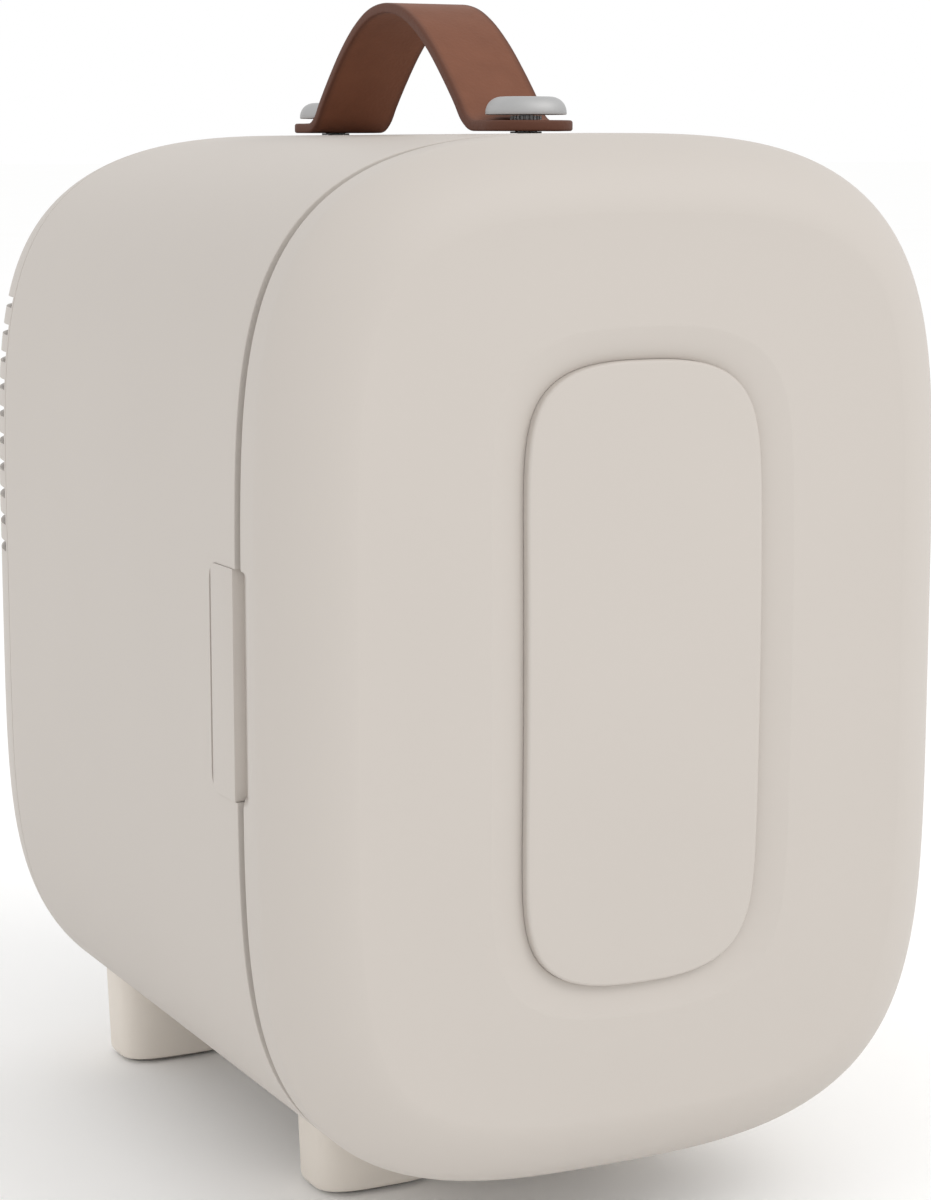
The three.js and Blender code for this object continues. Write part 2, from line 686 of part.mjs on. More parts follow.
function latchLever() {
  const { x, y, radius } = LATCH_PIVOT;
  const outerX = x - radius;
  const low = MIDDLE_Z - LATCH_HEIGHT / 2;
  const tab = extrude(latchFace(), 2.3, 5);
  turnSideways(tab).translate(outerX, 0, MIDDLE_Z);
  const barrel = rod("z", radius, LATCH_HEIGHT - 8, [x, y, low + 4], 20);
  const lipLow = [outerX + 2, LATCH_FRONT_Y, low + 10];
  const lip = block(lipLow, [outerX + 5, LATCH_FRONT_Y + 1.6, low + LATCH_HEIGHT - 10]);
  const bore = rod("z", PIN_BORE, LATCH_HEIGHT + 2, [x, y, low - 1], 12);
  return cut(join(tab, barrel, lip), bore);
}

// Face of the latch tab in its own plane: X runs towards the back of the fridge.
function latchFace() {
  const front = LATCH_FRONT_Y;
  const rear = LATCH_PIVOT.y + LATCH_PIVOT.radius;
  const half = LATCH_HEIGHT / 2;
  const round = 4;
  const shape = new THREE.Shape();
  shape.moveTo(front, -half);
  shape.lineTo(rear - round, -half);
  shape.absarc(rear - round, round - half, round, -Math.PI / 2, 0);
  shape.absarc(rear - round, half - round, round, 0, Math.PI / 2);
  shape.lineTo(front, half);
  shape.closePath();
  return shape;
}

const latchPin = () => rod("z", 0.8, LATCH_HEIGHT + 7, latchPinFoot(3.5), 12);

function latchSpring() {
  const x = LATCH_PIVOT.x + LATCH_PIVOT.radius + 0.5;
  const plan = [
    [x + 2.4, LATCH_PIVOT.y + 2],
    [x + 2.8, LATCH_PIVOT.y + 2],
    [x + 1.6, LATCH_PIVOT.y - 7],
    [x - 0.1, LATCH_PIVOT.y - 7.4],
    [x - 0.1, LATCH_PIVOT.y - 7.1],
    [x + 1.2, LATCH_PIVOT.y - 6.6],
  ];
  return barFromPlan(plan, 10, MIDDLE_Z - 5);
}

// ---------- hinges ----------
// Leaf in the shadow gap with knuckles on the hinge line; spans are [low, high] parts.
function hingeLeaf(z0, frontY, backY, spans) {
  const leaf = block([76, frontY, z0], [HINGE.x - HINGE.knuckle - 0.6, backY, z0 + HINGE.height]);
  const bores = [];
  const knuckles = spans.flatMap(([low, high]) => {
    const start = [HINGE.x, SEAM_Y, z0 + low];
    const tab = [HINGE.x - HINGE.knuckle - 1, frontY, z0 + low];
    bores.push(rod("z", HINGE.bore, high - low + 2, [HINGE.x, SEAM_Y, z0 + low - 1], 16));
    const knuckle = rod("z", HINGE.knuckle, high - low, start, 20);
    return [knuckle, block(tab, [HINGE.x - 1.2, backY, z0 + high])];
  });
  return cut(join(leaf, ...knuckles), ...bores);
}

function placeHinge(name, lift) {
  const z0 = MIDDLE_Z + lift - HINGE.height / 2;
  const third = HINGE.height / 3;
  const play = 0.2;
  const bodySpans = [
    [0, third - play],
    [2 * third + play, HINGE.height],
  ];
  const bodyFront = SEAM_Y + 0.2;
  const doorBack = SEAM_Y - 0.2;
  place(`hinge_base_${name}`, hingeLeaf(z0, bodyFront, bodyFront + HINGE.leaf, bodySpans), steel);
  place(
    `hinge_leaf_${name}`,
    hingeLeaf(z0, doorBack - HINGE.leaf, doorBack, [[third + play, 2 * third - play]]),
    steel,
  );
  const head = 2.3;
  const pin = turned(
    [
      [0, z0 - 0.5],
      [HINGE.pin, z0 - 0.5],
      [HINGE.pin, z0 + HINGE.height + 0.3],
      [head, z0 + HINGE.height + 0.3],
      [head, z0 + HINGE.height + 1.3],
      [0, z0 + HINGE.height + 1.6],
    ],
    [HINGE.x, SEAM_Y],
    16,
  );
  place(`hinge_pin_${name}`, pin, steel);
}

// ---------- strap handle ----------
// Middle line of the strap from apex to stud, as [share of the reach, height above the body].
const strapLine = [
  [0, 31.2],
  [0.165, 30],
  [0.312, 26.6],
  [0.46, 21.2],
  [0.607, 14.2],
  [0.726, 7.8],
  [0.787, 4.1],
  [0.852, 2.1],
  [0.919, STRAP.lift + STRAP.thick / 2],
  [1, STRAP.lift + STRAP.thick / 2],
];
const strapSide = (reach) =>
  strapLine.map(([share, z]) => new THREE.Vector3(0, share * reach, z + TOP_Z));

function strapHandle() {
  const line = [...strapSide(STUDS.front).slice(1).reverse(), ...strapSide(STUDS.rear)];
  const path = new THREE.CatmullRomCurve3(line, false, "centripetal");
  const steps = 32;
  const rings = [];
  for (let i = 0; i <= steps; i++) {
    const point = path.getPointAt(i / steps);
    const along = path.getTangentAt(i / steps);
    const up = new THREE.Vector3(0, -along.z, along.y).multiplyScalar(STRAP.thick / 2);
    rings.push(strapRing(point, up));
  }
  const ends = STUD_SPOTS.map((y) =>
    rod("z", STRAP.width / 2, STRAP.thick, [0, y, TOP_Z + STRAP.lift], 28),
  );
  const holes = STUD_SPOTS.map((y) => rod("z", POST.neck + 0.4, 8, [0, y, TOP_Z - 1], 16));
  return cut(join(loft(rings), ...ends), ...holes);
}

function strapRing(point, up) {
  const side = STRAP.width / 2;
  const corners = [
    [-1, 1],
    [1, 1],
    [1, -1],
    [-1, -1],
  ];
  return corners.map(([sx, su]) => [sx * side, point.y + su * up.y, point.z + su * up.z]);
}

const POST = { collar: 3.8, neck: 2.6, shank: 2 };
const CAP = { radius: 9.6, bottom: 4.5, top: 8.7, edge: 3.6 };

function studPost(y) {
  const strapTop = STRAP.lift + STRAP.thick;
  const profile = [
    [0, -10],
    [POST.shank, -10],
    [POST.shank, 0.15],
    [POST.collar, 0.15],
    [POST.collar, STRAP.lift - 0.15],
    [POST.neck, STRAP.lift - 0.15],
    [POST.neck, strapTop + 0.3],
    [POST.collar, strapTop + 0.3],
    [POST.collar, CAP.bottom - 0.3],
    [1.6, CAP.bottom - 0.3],
    [1.6, CAP.bottom + 2],
    [0, CAP.bottom + 2],
  ].map(([radius, z]) => [radius, z + TOP_Z]);
  return turned(profile, [0, y], 16);
}

function studCap(y) {
  const { radius, bottom, top, edge } = CAP;
  const profile = [
    [0, bottom + 2.3],
    [1.9, bottom + 2.3],
    [1.9, bottom],
    [radius - 0.3, bottom],
    [radius, bottom + 0.4],
  ];
  for (let i = 1; i <= 4; i++) {
    const t = (i / 4) * (Math.PI / 2);
    const rise = (top - bottom - 0.6) * Math.sin(t);
    profile.push([radius - edge * (1 - Math.cos(t)), bottom + 0.4 + rise]);
  }
  profile.push([0, top]);
  return turned(
    profile.map(([r, z]) => [r, z + TOP_Z]),
    [0, y],
    24,
  );
}

function studNut(y) {
  const nut = rod("z", 4.4, 3.2, [0, y, TOP_Z - WALL - 3.8], 6);
  return cut(nut, rod("z", POST.shank + 0.3, 8, [0, y, TOP_Z - WALL - 6], 12));
}

// ---------- assembly ----------
place("housing_shell", housingShell(), shellPlastic);
place("cabin_liner", cabinLiner(), linerPlastic);
place("cabin_foam", cabinFoam(), foam);
place("cabin_shelf", cabinShelf(), linerPlastic);
place("cold_plate", coldPlate(), aluminium);
place("thermoelectric_module", plateXZ(20, 20, 0.5, 57.9, 4.6, 0, STACK_Z), ceramic);
place("chassis_plate", chassisPlate(), darkPlastic);
place("heat_sink", heatSink(), aluminium);
place("fan_frame", fanFrame(), darkPlastic);
place("fan_rotor", fanRotor(), darkPlastic);
place("control_board", controlBoard(), boardGreen);
place("rear_cover", rearCover(), shellPlastic);
rearScrewSpots.forEach((spot, i) => place(`rear_screw_${i + 1}`, rearScrew(spot), steel));
place("mains_inlet", mainsInlet(), darkPlastic);
place("dc_socket", dcSocket(), darkPlastic);
place("mode_switch", modeSwitch(), darkPlastic);
place("mode_rocker", modeRocker(), darkPlastic);

const SIDES = { left: -1, right: 1 };
for (const [row, { x, y }] of Object.entries(FOOT_ROWS)) {
  for (const [sideName, side] of Object.entries(SIDES)) {
    place(`foot_${row}_${sideName}`, foot(side * x, y), footPlastic);
    place(`foot_pad_${row}_${sideName}`, footPad(side * x, y), rubber);
  }
}

place("door_shell", doorShell(), shellPlastic);
place("door_inset_panel", doorInsetPanel(), shellPlastic);
place("door_foam", doorFoam(), foam);
place("door_liner", doorLiner(), linerPlastic);
place("door_gasket", doorGasket(), rubber);
place("door_rack", doorRack(), linerPlastic);
place("door_catch", doorCatch(), shellPlastic);

place("latch_lever", latchLever(), shellPlastic);
place("latch_pin", latchPin(), steel);
place("latch_spring", latchSpring(), steel);
for (const [name, lift] of Object.entries(HINGE_LIFTS)) placeHinge(name, lift);

place("strap_handle", strapHandle(), leather);
for (const [name, y] of Object.entries(STUDS)) {
  place(`stud_post_${name}`, studPost(y), satinMetal);
  place(`stud_cap_${name}`, studCap(y), satinMetal);
  place(`stud_nut_${name}`, studNut(y), steel);
}

export default fridge;
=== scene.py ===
"""Compact thermoelectric mini fridge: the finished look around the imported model.

A pillow shaped cabinet and door in satin moulded ABS, a panel set in a dished ring, a side
latch, a leather strap on two metal studs, louvres and a fan grille behind, a white cabin.
Sizes are written in millimetres and become metres where a mesh is made.
"""

import json
import math

import bmesh
import bpy
import numpy as np
from mathutils import Matrix, Vector

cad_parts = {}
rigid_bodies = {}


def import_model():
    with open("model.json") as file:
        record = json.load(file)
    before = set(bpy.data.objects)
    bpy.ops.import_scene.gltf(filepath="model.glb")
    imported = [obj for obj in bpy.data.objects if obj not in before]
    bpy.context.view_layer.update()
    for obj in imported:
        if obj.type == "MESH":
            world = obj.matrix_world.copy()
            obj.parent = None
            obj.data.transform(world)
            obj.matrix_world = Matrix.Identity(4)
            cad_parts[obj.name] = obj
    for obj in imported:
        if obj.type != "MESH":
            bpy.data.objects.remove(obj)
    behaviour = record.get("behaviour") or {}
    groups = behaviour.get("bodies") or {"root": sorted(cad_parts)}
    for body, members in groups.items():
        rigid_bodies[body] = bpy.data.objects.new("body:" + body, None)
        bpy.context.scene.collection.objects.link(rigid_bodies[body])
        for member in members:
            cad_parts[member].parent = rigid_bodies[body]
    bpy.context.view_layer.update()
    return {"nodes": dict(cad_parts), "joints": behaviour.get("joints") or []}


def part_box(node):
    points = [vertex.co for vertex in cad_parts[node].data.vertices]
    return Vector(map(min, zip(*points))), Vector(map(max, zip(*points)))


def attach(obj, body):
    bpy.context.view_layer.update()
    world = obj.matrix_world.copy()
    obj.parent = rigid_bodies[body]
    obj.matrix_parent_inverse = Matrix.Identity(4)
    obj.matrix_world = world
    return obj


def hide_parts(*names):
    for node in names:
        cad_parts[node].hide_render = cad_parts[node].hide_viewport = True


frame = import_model()

MM = 0.001
SCENE = bpy.context.scene


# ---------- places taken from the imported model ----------
def box_mm(node):
    low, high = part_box(node)
    return low / MM, high / MM


def joint_spot(name):
    found = [joint for joint in frame["joints"] if joint["name"] == name]
    return Vector(found[0]["pos_m"]) / MM


housing_low, housing_high = box_mm("housing_shell")
cover_low, cover_high = box_mm("rear_cover")
DOOR_REAR_Y = box_mm("door_shell")[1].y
RIM_Y = housing_low.y
PARTING_Y = housing_high.y
COVER_Y = cover_low.y
BACK_Y = cover_high.y
MIDDLE_Z = (housing_low.z + housing_high.z) / 2
SEAM_Y = (DOOR_REAR_Y + RIM_Y) / 2
FRONT_Y = SEAM_Y - 25
LATCH_AXIS = joint_spot("latch_pivot")
HINGE_AXIS = joint_spot("door_hinge")
FAN_AXIS = joint_spot("fan_spin")

# ---------- the maker's own sizes ----------
HALF_WIDTH = 87.5
HALF_HEIGHT = 120
TOP_Z = MIDDLE_Z + HALF_HEIGHT
WALL = 2.4  # moulded shell
BODY = (HALF_WIDTH, HALF_HEIGHT, 3, 4.75)
PANEL = (30.1, 71, 2.73, 9)
DISH = (38.8, 78.5, 2.73, 8)
PANEL_LIFT = -0.4  # off the middle of the door
DISH_DEPTH = 2.3
CROWN = 2.9  # how far the middle of the door face stands forward
FRONT_EDGE = {"inset": 17.6, "depth": 16, "power": 1.6}
BACK_EDGE = {"inset": 22, "depth": 39, "power": 1.8}
REBATE = {"in": 2.2, "back": 0.7, "round": 0.25}  # step that widens the shadow gap at the surface
SCOOP = {"depth": 2.5, "reach": 5, "half": 26.4, "fade": 1.4, "tongue": 4.5}
LATCH_HALF = 26
LATCH_ROUND = 4
LATCH_FRONT_Y = SEAM_Y + 2.4
LATCH_GAP = 0.1
LOUVRES = {"first": 8.7, "pitch": 7.3, "height": 2.8, "count": 10, "front": PARTING_Y + 1.6, "inner": 58}
GRILLE = {"rows": 9, "pitch": 8, "height": 3.2, "reach": 38}
SCREW_SPOTS = [(side * 52, MIDDLE_Z + lift * 82) for side in (-1, 1) for lift in (-1, 1)]
STUDS = {"front": -56.4, "rear": 54}
STRAP = {"width": 22, "thick": 2.5, "lift": 0.6, "edge": 0.55}
CAP = {"radius": 9.6, "bottom": 4.4, "top": 8.6, "edge": 3.9}
FOOT = (17.5, 11.5, 3.2, 3.4)
PAD = (14, 8, 3, 3)

CABIN = (66, 93, 7, 7)
PLUG = (58, 85, 7, 7)
FINS = {"count": 15, "thick": 1.2, "base": 4}
BLADES = {"count": 7, "root": 12, "reach": 24.8, "twist": 0.72, "wash_out": 0.26, "bow": 1.1}
CAMERA = {"azimuth": -26.54, "elevation": 9.12, "distance": 724.36, "lens": 84.71}
CAMERA_TARGET = (5.41, -13.7, MIDDLE_Z + 2.15)

# Where the rings of a skin have their points: marked heights, and steps between them.
PLAIN = ((), (64,))
DOOR_GRID = ((10, 18, 21, 22, 22.75, 23.5, 24.25, 25, 25.5, 26, 26.5, 27.5), (4, 3, 2) + 9 * (1,) + (60,))
LOUVRE_LEVELS = [
    LOUVRES["first"] + i * LOUVRES["pitch"] + up
    for i in range(LOUVRES["count"])
    for up in (0, LOUVRES["height"])
]
COVER_GRID = (tuple(LOUVRE_LEVELS), (3,) + 9 * (1, 2) + (1, 44))


# ---------- finishes ----------
def linear(colour):
    """sRGB hex to the linear values that shaders take."""
    channels = [int(colour[i : i + 2], 16) / 255 for i in (1, 3, 5)]
    return tuple(c / 12.92 if c <= 0.04045 else ((c + 0.055) / 1.055) ** 2.4 for c in channels) + (1,)


def add(tree, kind, inputs=None, **settings):
    """One node in a tree, with its settings, its values and its links."""
    made = tree.nodes.new(kind)
    for name, value in settings.items():
        setattr(made, name, value)
    for name, value in (inputs or {}).items():
        if isinstance(value, bpy.types.NodeSocket):
            tree.links.new(value, made.inputs[name])
        else:
            made.inputs[name].default_value = value
    return made


def calc(tree, operation, *values):
    """Result of one math node on these values."""
    return add(tree, "ShaderNodeMath", dict(enumerate(values)), operation=operation).outputs[0]


def blend(tree, factor, first, second):
    """Result of a mix of two colours."""
    return add(tree, "ShaderNodeMix", {"Factor": factor, 6: first, 7: second}, data_type="RGBA").outputs[2]


def per_mm(size):
    """Noise scale, on object coordinates in metres, that gives features of this size."""
    return 1 / (size * MM)


def finish(name, tone, shade, roughness, metallic=0.0, ior=1.5, mottle=40, grain=0.5, height=0.01, **shader):
    """Skin whose colour drifts from tone to shade over mottle, with a fine relief of grain by height."""
    material = bpy.data.materials.new(name)
    material.use_nodes = True
    tree = material.node_tree
    tree.nodes.clear()
    place = add(tree, "ShaderNodeTexCoord").outputs["Object"]
    drift = add(tree, "ShaderNodeTexNoise", {"Vector": place, "Scale": per_mm(mottle), "Detail": 3.0})
    colour = blend(tree, drift.outputs["Fac"], linear(tone), linear(shade))
    relief = add(tree, "ShaderNodeTexNoise", {"Vector": place, "Scale": per_mm(grain), "Detail": 4.0})
    bump = add(
        tree,
        "ShaderNodeBump",
        {"Height": relief.outputs["Fac"], "Distance": height * MM, "Strength": 1.0},
    )
    gloss = add(
        tree,
        "ShaderNodeMapRange",
        {"Value": relief.outputs["Fac"], "To Min": roughness - 0.04, "To Max": roughness + 0.04},
    )
    values = {
        "Base Color": colour,
        "Roughness": gloss.outputs["Result"],
        "Metallic": metallic,
        "Normal": bump.outputs["Normal"],
        **shader,
    }
    if not metallic:
        values["IOR"] = ior
    skin = add(tree, "ShaderNodeBsdfPrincipled", values)
    add(tree, "ShaderNodeOutputMaterial", {"Surface": skin.outputs["BSDF"]})
    return material


# Injection moulded ABS with a fine spark-eroded skin: soft satin light, hardly any drift.
satin_abs = finish(
    "satin_moulded_abs", "#c4bdb6", "#c1bab3", 0.55, ior=1.53, mottle=60, grain=0.45, height=0.006
)
# The same ABS, moulded thick: duller, with faint flow marks; its colour is painted lighter than the shell's,
# as painted fill light against the shade under the cabinet.
foot_abs_painted_fill = finish(
    "foot_moulded_abs_painted_fill", "#e6ded4", "#e1d9cf", 0.6, ior=1.53, mottle=14, grain=0.5, height=0.01
)
# Vacuum formed polystyrene: milk white and glossy, with the slow waviness of drawn sheet.
liner_hips = finish(
    "vacuum_formed_liner", "#eeece8", "#e8e6e1", 0.24, ior=1.59, mottle=30, grain=9, height=0.04
)
# Rigid polyurethane foam: dry, cream, open cells.
rigid_foam = finish(
    "rigid_foam", "#e9dfb6", "#cfc08c", 0.95, ior=1.45, mottle=4, grain=0.9, height=0.25
)
# Die cast and extruded aluminium: bright grey, fine machined haze.
cast_aluminium = finish(
    "extruded_aluminium", "#c6c9cb", "#b4b7ba", 0.38, metallic=1.0, mottle=8, grain=0.35, height=0.01
)
# Alumina plate: chalk white and matt.
alumina = finish(
    "alumina_ceramic", "#f1efe9", "#e6e3dc", 0.6, ior=1.76, mottle=3, grain=0.3, height=0.01
)
# Glass filled nylon: near black, fine leathery mould texture.
black_nylon = finish(
    "black_moulded_nylon", "#202124", "#292a2d", 0.48, ior=1.53, mottle=10, grain=0.6, height=0.03
)
# Solder mask over glass cloth: deep green with a wet gloss.
solder_mask = finish(
    "green_board", "#1d5a3b", "#17492f", 0.3, ior=1.55, mottle=5, grain=0.4, height=0.02
)
# Thermoplastic rubber: warm grey, dusty and dull.
grey_rubber = finish(
    "moulded_rubber", "#8f8a84", "#827d77", 0.82, ior=1.52, mottle=6, grain=0.35, height=0.03
)
# Bead blasted, clear lacquered zinc: even silver grey with a broad sheen.
blasted_zinc = finish(
    "bead_blasted_zinc", "#bebebe", "#b7b7b7", 0.62, metallic=1.0, mottle=5, grain=0.25, height=0.012
)
# Bright zinc plate on steel: cool, with a faint cloud.
zinc_steel = finish(
    "zinc_plated_steel", "#b4b7bb", "#a4a7ac", 0.27, metallic=1.0, mottle=4, grain=0.5, height=0.008
)


def vegetable_leather():
    """Vegetable tanned cowhide: pebbled grain side, mottled brown, cut edges rubbed dark."""
    material = bpy.data.materials.new("vegetable_tanned_leather")
    material.use_nodes = True
    tree = material.node_tree
    tree.nodes.clear()
    place = add(tree, "ShaderNodeTexCoord").outputs["Object"]
    drift = add(
        tree,
        "ShaderNodeTexNoise",
        {"Vector": place, "Scale": per_mm(9), "Detail": 6.0, "Roughness": 0.6},
    )
    hide = blend(tree, drift.outputs["Fac"], linear("#7c4a31"), linear("#6b3e28"))
    edge = add(tree, "ShaderNodeAttribute", attribute_name="rubbed_edge")
    burnished = blend(tree, edge.outputs["Fac"], hide, linear("#5a3220"))
    # Pebbles of 0.9 mm with creases between, and pores of 0.25 mm.
    pebbles = add(
        tree,
        "ShaderNodeTexVoronoi",
        {"Vector": place, "Scale": per_mm(0.9), "Randomness": 1.0},
        feature="SMOOTH_F1",
    )
    pores = add(tree, "ShaderNodeTexNoise", {"Vector": place, "Scale": per_mm(0.25), "Detail": 3.0})
    creased = add(
        tree,
        "ShaderNodeBump",
        {"Height": pebbles.outputs["Distance"], "Distance": 0.06 * MM, "Strength": 1.0},
        invert=True,
    )
    bump = add(
        tree,
        "ShaderNodeBump",
        {"Height": pores.outputs["Fac"], "Distance": 0.02 * MM, "Normal": creased.outputs["Normal"]},
    )
    gloss = add(tree, "ShaderNodeMapRange", {"Value": drift.outputs["Fac"], "To Min": 0.6, "To Max": 0.7})
    skin = add(
        tree,
        "ShaderNodeBsdfPrincipled",
        {
            "Base Color": burnished,
            "Roughness": gloss.outputs["Result"],
            "IOR": 1.44,
            "Normal": bump.outputs["Normal"],
        },
    )
    add(tree, "ShaderNodeOutputMaterial", {"Surface": skin.outputs["BSDF"]})
    return material


leather = vegetable_leather()


# ---------- outlines ----------
def quarter(shape, inset, levels, steps):
    """First quarter of |x/a|^m + |z/b|^n = 1, moved in along its normals, marked at each level."""
    half_x, half_z, round_x, round_z = shape
    rise = np.linspace(0, 0.5 ** (1 / round_z), 500)
    run = np.linspace(0.5 ** (1 / round_x), 0, 500)[1:]
    x = np.r_[(1 - rise**round_z) ** (1 / round_x), run]
    z = np.r_[rise, (1 - run**round_x) ** (1 / round_z)]
    normal = np.c_[round_x * x ** (round_x - 1) / half_x, round_z * z ** (round_z - 1) / half_z]
    normal /= np.linalg.norm(normal, axis=1)[:, None]
    dense = np.c_[x * half_x, z * half_z] - inset * normal
    travel = np.r_[0, np.cumsum(np.linalg.norm(np.diff(dense, axis=0), axis=1))]
    stops = [0, *np.interp(levels, dense[:, 1], travel), travel[-1]]
    spans = [np.linspace(a, b, n, endpoint=False) for a, b, n in zip(stops, stops[1:], steps)]
    places = np.r_[np.concatenate(spans), travel[-1]]
    return np.c_[np.interp(places, travel, dense[:, 0]), np.interp(places, travel, dense[:, 1])]


def four_ways(first):
    """Closed loop from its first quarter."""
    over = np.r_[first, (first * (-1, 1))[-2::-1]]
    return np.r_[over, (over * (1, -1))[-2:0:-1]]


def ring(shape, y, inset=0.0, grid=PLAIN, lift=0.0):
    """Closed loop in the X-Z plane, anticlockwise seen from the front."""
    loop = four_ways(quarter(shape, inset, *grid))
    return np.c_[loop[:, 0], np.full(len(loop), y), loop[:, 1] + MIDDLE_Z + lift]


def edge_steps(edge, count):
    """(inset, distance past the straight side) pairs round a soft edge, ending at its tip."""
    steps = []
    for k in range(count + 1):
        turn = math.pi / 2 * k / count
        past = max(math.sin(turn), 0) ** (2 / edge["power"])
        left = max(math.cos(turn), 0) ** (2 / edge["power"])
        steps.append((edge["inset"] * (1 - left), edge["depth"] * past))
    return steps


BACK_START_Y = BACK_Y - BACK_EDGE["depth"]
BACK_CURVE = [(inset, BACK_START_Y + past) for inset, past in edge_steps(BACK_EDGE, 30)]


def quarter_round(radius, count):
    """(across, along) pairs round a quarter circle: across shrinks from the radius as along grows to it."""
    turns = np.linspace(0, math.pi / 2, count)
    return [(radius * (1 - math.sin(turn)), radius * (1 - math.cos(turn))) for turn in turns]


def back_inset(y):
    """How far the back's soft edge has drawn in at a depth."""
    past = max(0.0, 1 - (BACK_Y - y) / BACK_EDGE["depth"])
    return BACK_EDGE["inset"] * (1 - (1 - past ** BACK_EDGE["power"]) ** (1 / BACK_EDGE["power"]))


def rounded(half_u, half_v, radius, grow=0.0, centre=(0, 0), arc=8):
    """Rounded rectangle as [u, v] pairs, anticlockwise."""
    points = []
    for corner, (su, sv) in enumerate([(1, 1), (-1, 1), (-1, -1), (1, -1)]):
        for k in range(arc + 1):
            turn = math.pi / 2 * (corner + k / max(arc, 1))
            u = su * (half_u - radius) + (radius + grow) * math.cos(turn)
            v = sv * (half_v - radius) + (radius + grow) * math.sin(turn)
            points.append((u + centre[0], v + centre[1]))
    return np.array(points)


def circle(radius, centre=(0, 0), count=48):
    turns = np.arange(count) * 2 * math.pi / count
    return np.c_[radius * np.cos(turns) + centre[0], radius * np.sin(turns) + centre[1]]


def stand(points, depth, axis):
    """A flat outline carried to a depth on an axis: u and v are the two other axes in order."""
    u, v = np.asarray(points).T
    d = np.full(len(u), float(depth))
    return {"x": np.c_[d, u, v], "y": np.c_[u, d, v], "z": np.c_[u, v, d]}[axis]


# ---------- mesh work ----------
def placed(name, data):
    """New object round a mesh, a lamp or a lens, in the scene."""
    made = bpy.data.objects.new(name, data)
    SCENE.collection.objects.link(made)
    return made


def make(name, vertices, faces, material=None, closed=True):
    mesh = bpy.data.meshes.new(name)
    mesh.from_pydata((np.asarray(vertices, float) * MM).tolist(), [], faces)
    if closed:
        shell = bmesh.new()
        shell.from_mesh(mesh)
        bmesh.ops.recalc_face_normals(shell, faces=shell.faces)
        shell.to_mesh(mesh)
        shell.free()
    if material:
        mesh.materials.append(material)
    return placed(name, mesh)


def skin(name, rings, material=None, looped=False, ends=(True, True), closed=True):
    """Skin through rings of equal length, with its ends capped or the last ring joined to the first."""
    count = len(rings[0])
    faces = []
    for band in range(len(rings) if looped else len(rings) - 1):
        a = band * count
        b = (band + 1) % len(rings) * count
        faces += [(a + i, b + i, b + (i + 1) % count, a + (i + 1) % count) for i in range(count)]
    last = (len(rings) - 1) * count
    if ends[0] and not looped:
        faces.append(tuple(range(count)))
    if ends[1] and not looped:
        faces.append(tuple(range(last, last + count))[::-1])
    return make(name, np.concatenate(rings), faces, material, closed)


def plug(name, axis, stations, material=None):
    """Solid through flat outlines of equal length at depths on an axis."""
    return skin(name, [stand(points, depth, axis) for points, depth in stations], material)


def block(name, low, high, material=None):
    halves = [(high[0] - low[0]) / 2, (high[1] - low[1]) / 2]
    centre = [(high[0] + low[0]) / 2, (high[1] + low[1]) / 2]
    flat = rounded(*halves, 0, centre=centre, arc=0)
    return plug(name, "z", [(flat, low[2]), (flat, high[2])], material)


def turned(name, profile, spot, material, count=64):
    """Turned piece about the upright through spot, profile as (radius, height) pairs off the axis."""
    rings = [stand(circle(radius, spot, count), height, "z") for radius, height in profile]
    return skin(name, rings, material)


def settle(piece):
    """Turns the modifiers of a piece into plain mesh."""
    evaluated = piece.evaluated_get(bpy.context.evaluated_depsgraph_get())
    mesh = bpy.data.meshes.new_from_object(evaluated)
    piece.modifiers.clear()
    piece.data = mesh
    return piece


def carve(piece, tools, operation="DIFFERENCE"):
    for tool in tools:
        step = piece.modifiers.new("carve", "BOOLEAN")
        step.operation = operation
        step.solver = "EXACT"
        step.object = tool
    settle(piece)
    for tool in tools:
        bpy.data.objects.remove(tool)
    return piece


def soften(piece, width, segments=2, angle=40):
    """Rounds the piece's sharp edges."""
    step = piece.modifiers.new("soften", "BEVEL")
    step.width = width * MM
    step.segments = segments
    step.limit_method = "ANGLE"
    step.angle_limit = math.radians(angle)
    step.harden_normals = False
    return settle(piece)


def merged(pieces, name):
    """Several objects as one mesh."""
    whole = bmesh.new()
    for piece in pieces:
        whole.from_mesh(piece.data)
    mesh = bpy.data.meshes.new(name)
    whole.to_mesh(mesh)
    whole.free()
    for material in pieces[0].data.materials:
        mesh.materials.append(material)
    for piece in pieces:
        bpy.data.objects.remove(piece)
    return placed(name, mesh)


def fit(piece, body, slot, *nodes, angle=32):
    """Shades a finished piece and puts it on its body, in place of the plain nodes."""
    piece.data.shade_smooth()
    piece.data.set_sharp_from_angle(angle=math.radians(angle))
    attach(piece, body)
    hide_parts(*nodes)
    return piece


def dressed(node, name, body, slot, material, width=0.3, segments=2):
    """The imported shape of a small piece, merged, with its edges rounded."""
    shape = bmesh.new()
    shape.from_mesh(frame["nodes"][node].data)
    bmesh.ops.remove_doubles(shape, verts=shape.verts, dist=0.005 * MM)
    bmesh.ops.dissolve_limit(shape, angle_limit=math.radians(0.6), verts=shape.verts, edges=shape.edges)
    mesh = bpy.data.meshes.new(name)
    shape.to_mesh(mesh)
    shape.free()
    mesh.materials.append(material)
    return fit(soften(placed(name, mesh), width, segments), body, slot, node)


# ---------- repeating work in geometry nodes ----------
def plan(name, **sizes):
    """Empty node tree with a geometry passing through and named inputs: numbers, objects, materials."""
    tree = bpy.data.node_groups.new(name, "GeometryNodeTree")
    tree.interface.new_socket("Geometry", in_out="INPUT", socket_type="NodeSocketGeometry")
    kinds = {int: "NodeSocketInt", float: "NodeSocketFloat"}
    for label, value in sizes.items():
        kind = kinds.get(type(value)) or "NodeSocket" + type(value).__name__
        tree.interface.new_socket(label, in_out="INPUT", socket_type=kind)
    tree.interface.new_socket("Geometry", in_out="OUTPUT", socket_type="NodeSocketGeometry")
    return tree, add(tree, "NodeGroupInput").outputs


